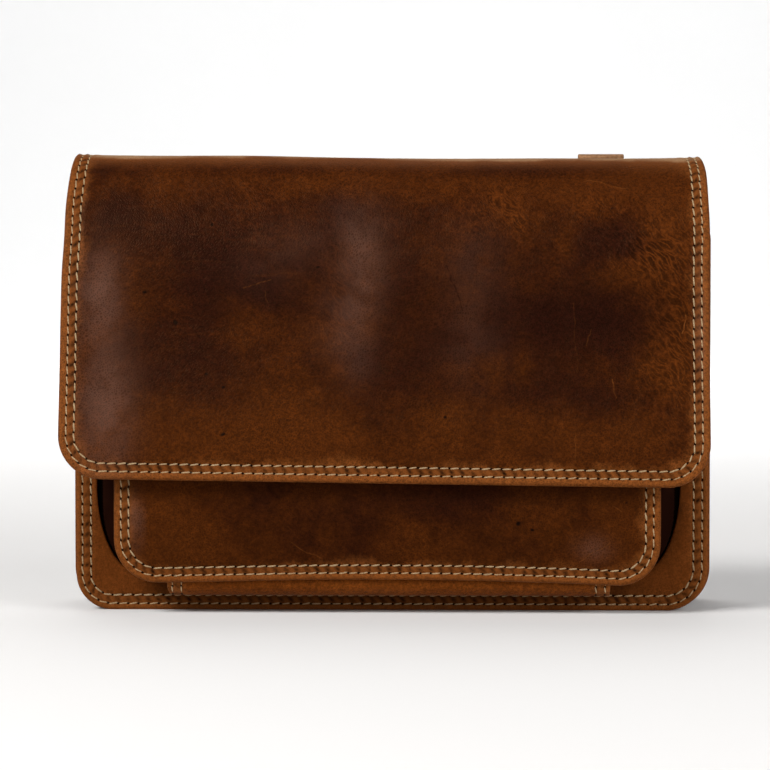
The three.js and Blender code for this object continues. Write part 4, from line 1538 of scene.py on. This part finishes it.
studio = {
    "floorSize": 14.0,
    "wallHeight": 6.0,
    "curve": 3.0,
    "pale": (0.86, 0.86, 0.86, 1),
    "paleMottle": (0.8471, 0.8471, 0.8471, 1),
    "sky": (1.0, 1.0, 1.0, 1),
    "skyStrength": 0.07,
    "skySeen": 0.9,
    # place, size, power, tint and aim of each soft light
    "lights": {
        "overhead": ((-0.2, 0.95, 1.7), 1.3, 12.0, (1.0, 0.98, 0.96), (0.0, 0.0, 0.1)),
        "leftWindow": ((-1.25, -1.15, 1.45), 0.8, 42.0, (1.0, 0.98, 0.96), (0.0, -0.02, 0.1)),
        "rightFill": ((1.5, -1.15, 0.9), 1.0, 19.5, (1.0, 0.98, 0.97), (0.0, -0.02, 0.1)),
        "lowFill": ((0.9, -1.5, 0.24), 0.6, 3.4, (1.0, 0.98, 0.97), (0.0, -0.02, 0.05)),
        "backdropLight": ((0.0, 2.0, 3.2), 3.0, 230.0, (1.0, 1.0, 1.0), (0.0, 6.2, 1.0)),
        "farLeft": ((-4.2, -0.8, 3.2), 2.0, 110.0, (1.0, 1.0, 1.0), (-4.6, -0.8, 0.0)),
        "farRight": ((4.2, -0.8, 3.2), 2.0, 110.0, (1.0, 1.0, 1.0), (4.6, -0.8, 0.0)),
        "farFront": ((0.0, -4.8, 3.2), 2.0, 110.0, (1.0, 1.0, 1.0), (0.0, -5.2, 0.0)),
    },
    "noGloss": ("overhead", "lowFill"),  # these would lie as grey bands on the leather
    "farSpread": 95.0,  # degrees, so that the far lights reach the floor and not the purse
}


def paleMaterial():
    material, tree = newMaterial("paleFloor")
    mottle = noise(tree, objectSpots(tree), 3.0, 2.0)
    color = blend(tree, mottle, studio["pale"], studio["paleMottle"])
    addShader(tree, {"Base Color": color, "Roughness": 0.9, "Specular IOR Level": 0.1})
    return material


def selectEdges(floor, chosen):  # edges whose ends are all chosen, left selected in edit mode
    bpy.ops.object.mode_set(mode="EDIT")
    bpy.ops.mesh.select_mode(type="EDGE")
    bpy.ops.mesh.select_all(action="DESELECT")
    bpy.ops.object.mode_set(mode="OBJECT")
    for edge in floor.data.edges:
        edge.select = all(chosen(floor.data.vertices[i].co) for i in edge.vertices)
    bpy.ops.object.mode_set(mode="EDIT")


def layFloor():
    bpy.ops.object.select_all(action="DESELECT")
    bpy.ops.mesh.primitive_plane_add(size=studio["floorSize"])
    floor = bpy.context.object
    floor.name = "paleFloor"
    selectEdges(floor, lambda end: end.y > 0)
    bpy.ops.mesh.extrude_region_move(TRANSFORM_OT_translate={"value": (0, 0, studio["wallHeight"])})
    selectEdges(floor, lambda end: end.y > 0 and end.z < 0.1)
    bpy.ops.mesh.bevel(offset=studio["curve"], segments=16)
    bpy.ops.object.mode_set(mode="OBJECT")
    bpy.ops.object.shade_smooth()
    floor.data.materials.append(paleMaterial())
    floor.visible_glossy = False  # no white fringe along the leather's rims


def hangLights():
    for name, (place, size, power, tint, aim) in studio["lights"].items():
        bpy.ops.object.light_add(type="AREA", location=place)
        lamp = bpy.context.object
        lamp.name = name
        lamp.data.size = size
        lamp.data.energy = power
        lamp.data.color = tint
        lamp.visible_glossy = name not in studio["noGloss"]
        if name.startswith("far"):
            lamp.data.spread = math.radians(studio["farSpread"])
        lamp.rotation_euler = (Vector(aim) - Vector(place)).to_track_quat("-Z", "Y").to_euler()


def hangSky():  # dim on the purse, pale where the camera sees it
    world = bpy.data.worlds.new("paleSky")
    bpy.context.scene.world = world
    world.use_nodes = True
    tree = world.node_tree
    seen = addNode(tree, "LightPath", {}).outputs["Is Camera Ray"]
    background = tree.nodes["Background"].inputs
    feed(tree, background["Color"], studio["sky"])
    feed(tree, background["Strength"], ease(tree, seen, 0.0, 1.0, studio["skyStrength"], studio["skySeen"]))
    bpy.context.scene.view_settings.view_transform = "Standard"


view = {
    "imageSide": 770,  # pixels
    "focal": 3214.0,  # pixels
    "place": (30.0, -1350.0, 151.6),  # millimetres
    "straightAhead": (463.0, 250.0),  # the pixel straight ahead of the camera, along the purse's depth
    "sensor": 36.0,
    "clip": (0.05, 60.0),  # metres
}


def setCamera():
    place = np.array(view["place"]) * mm + bagOrigin
    bpy.ops.object.camera_add(location=place)
    camera = bpy.context.object
    right, down = (view["imageSide"] / 2 - at for at in view["straightAhead"])
    gaze = Vector((right, view["focal"], -down))
    camera.rotation_euler = gaze.to_track_quat("-Z", "Y").to_euler()
    camera.data.sensor_width = view["sensor"]
    camera.data.lens = gaze.length * view["sensor"] / view["imageSide"]
    camera.data.clip_start, camera.data.clip_end = view["clip"]
    bpy.context.scene.camera = camera


layFloor()
hangLights()
hangSky()
setCamera()
print("studio ready")
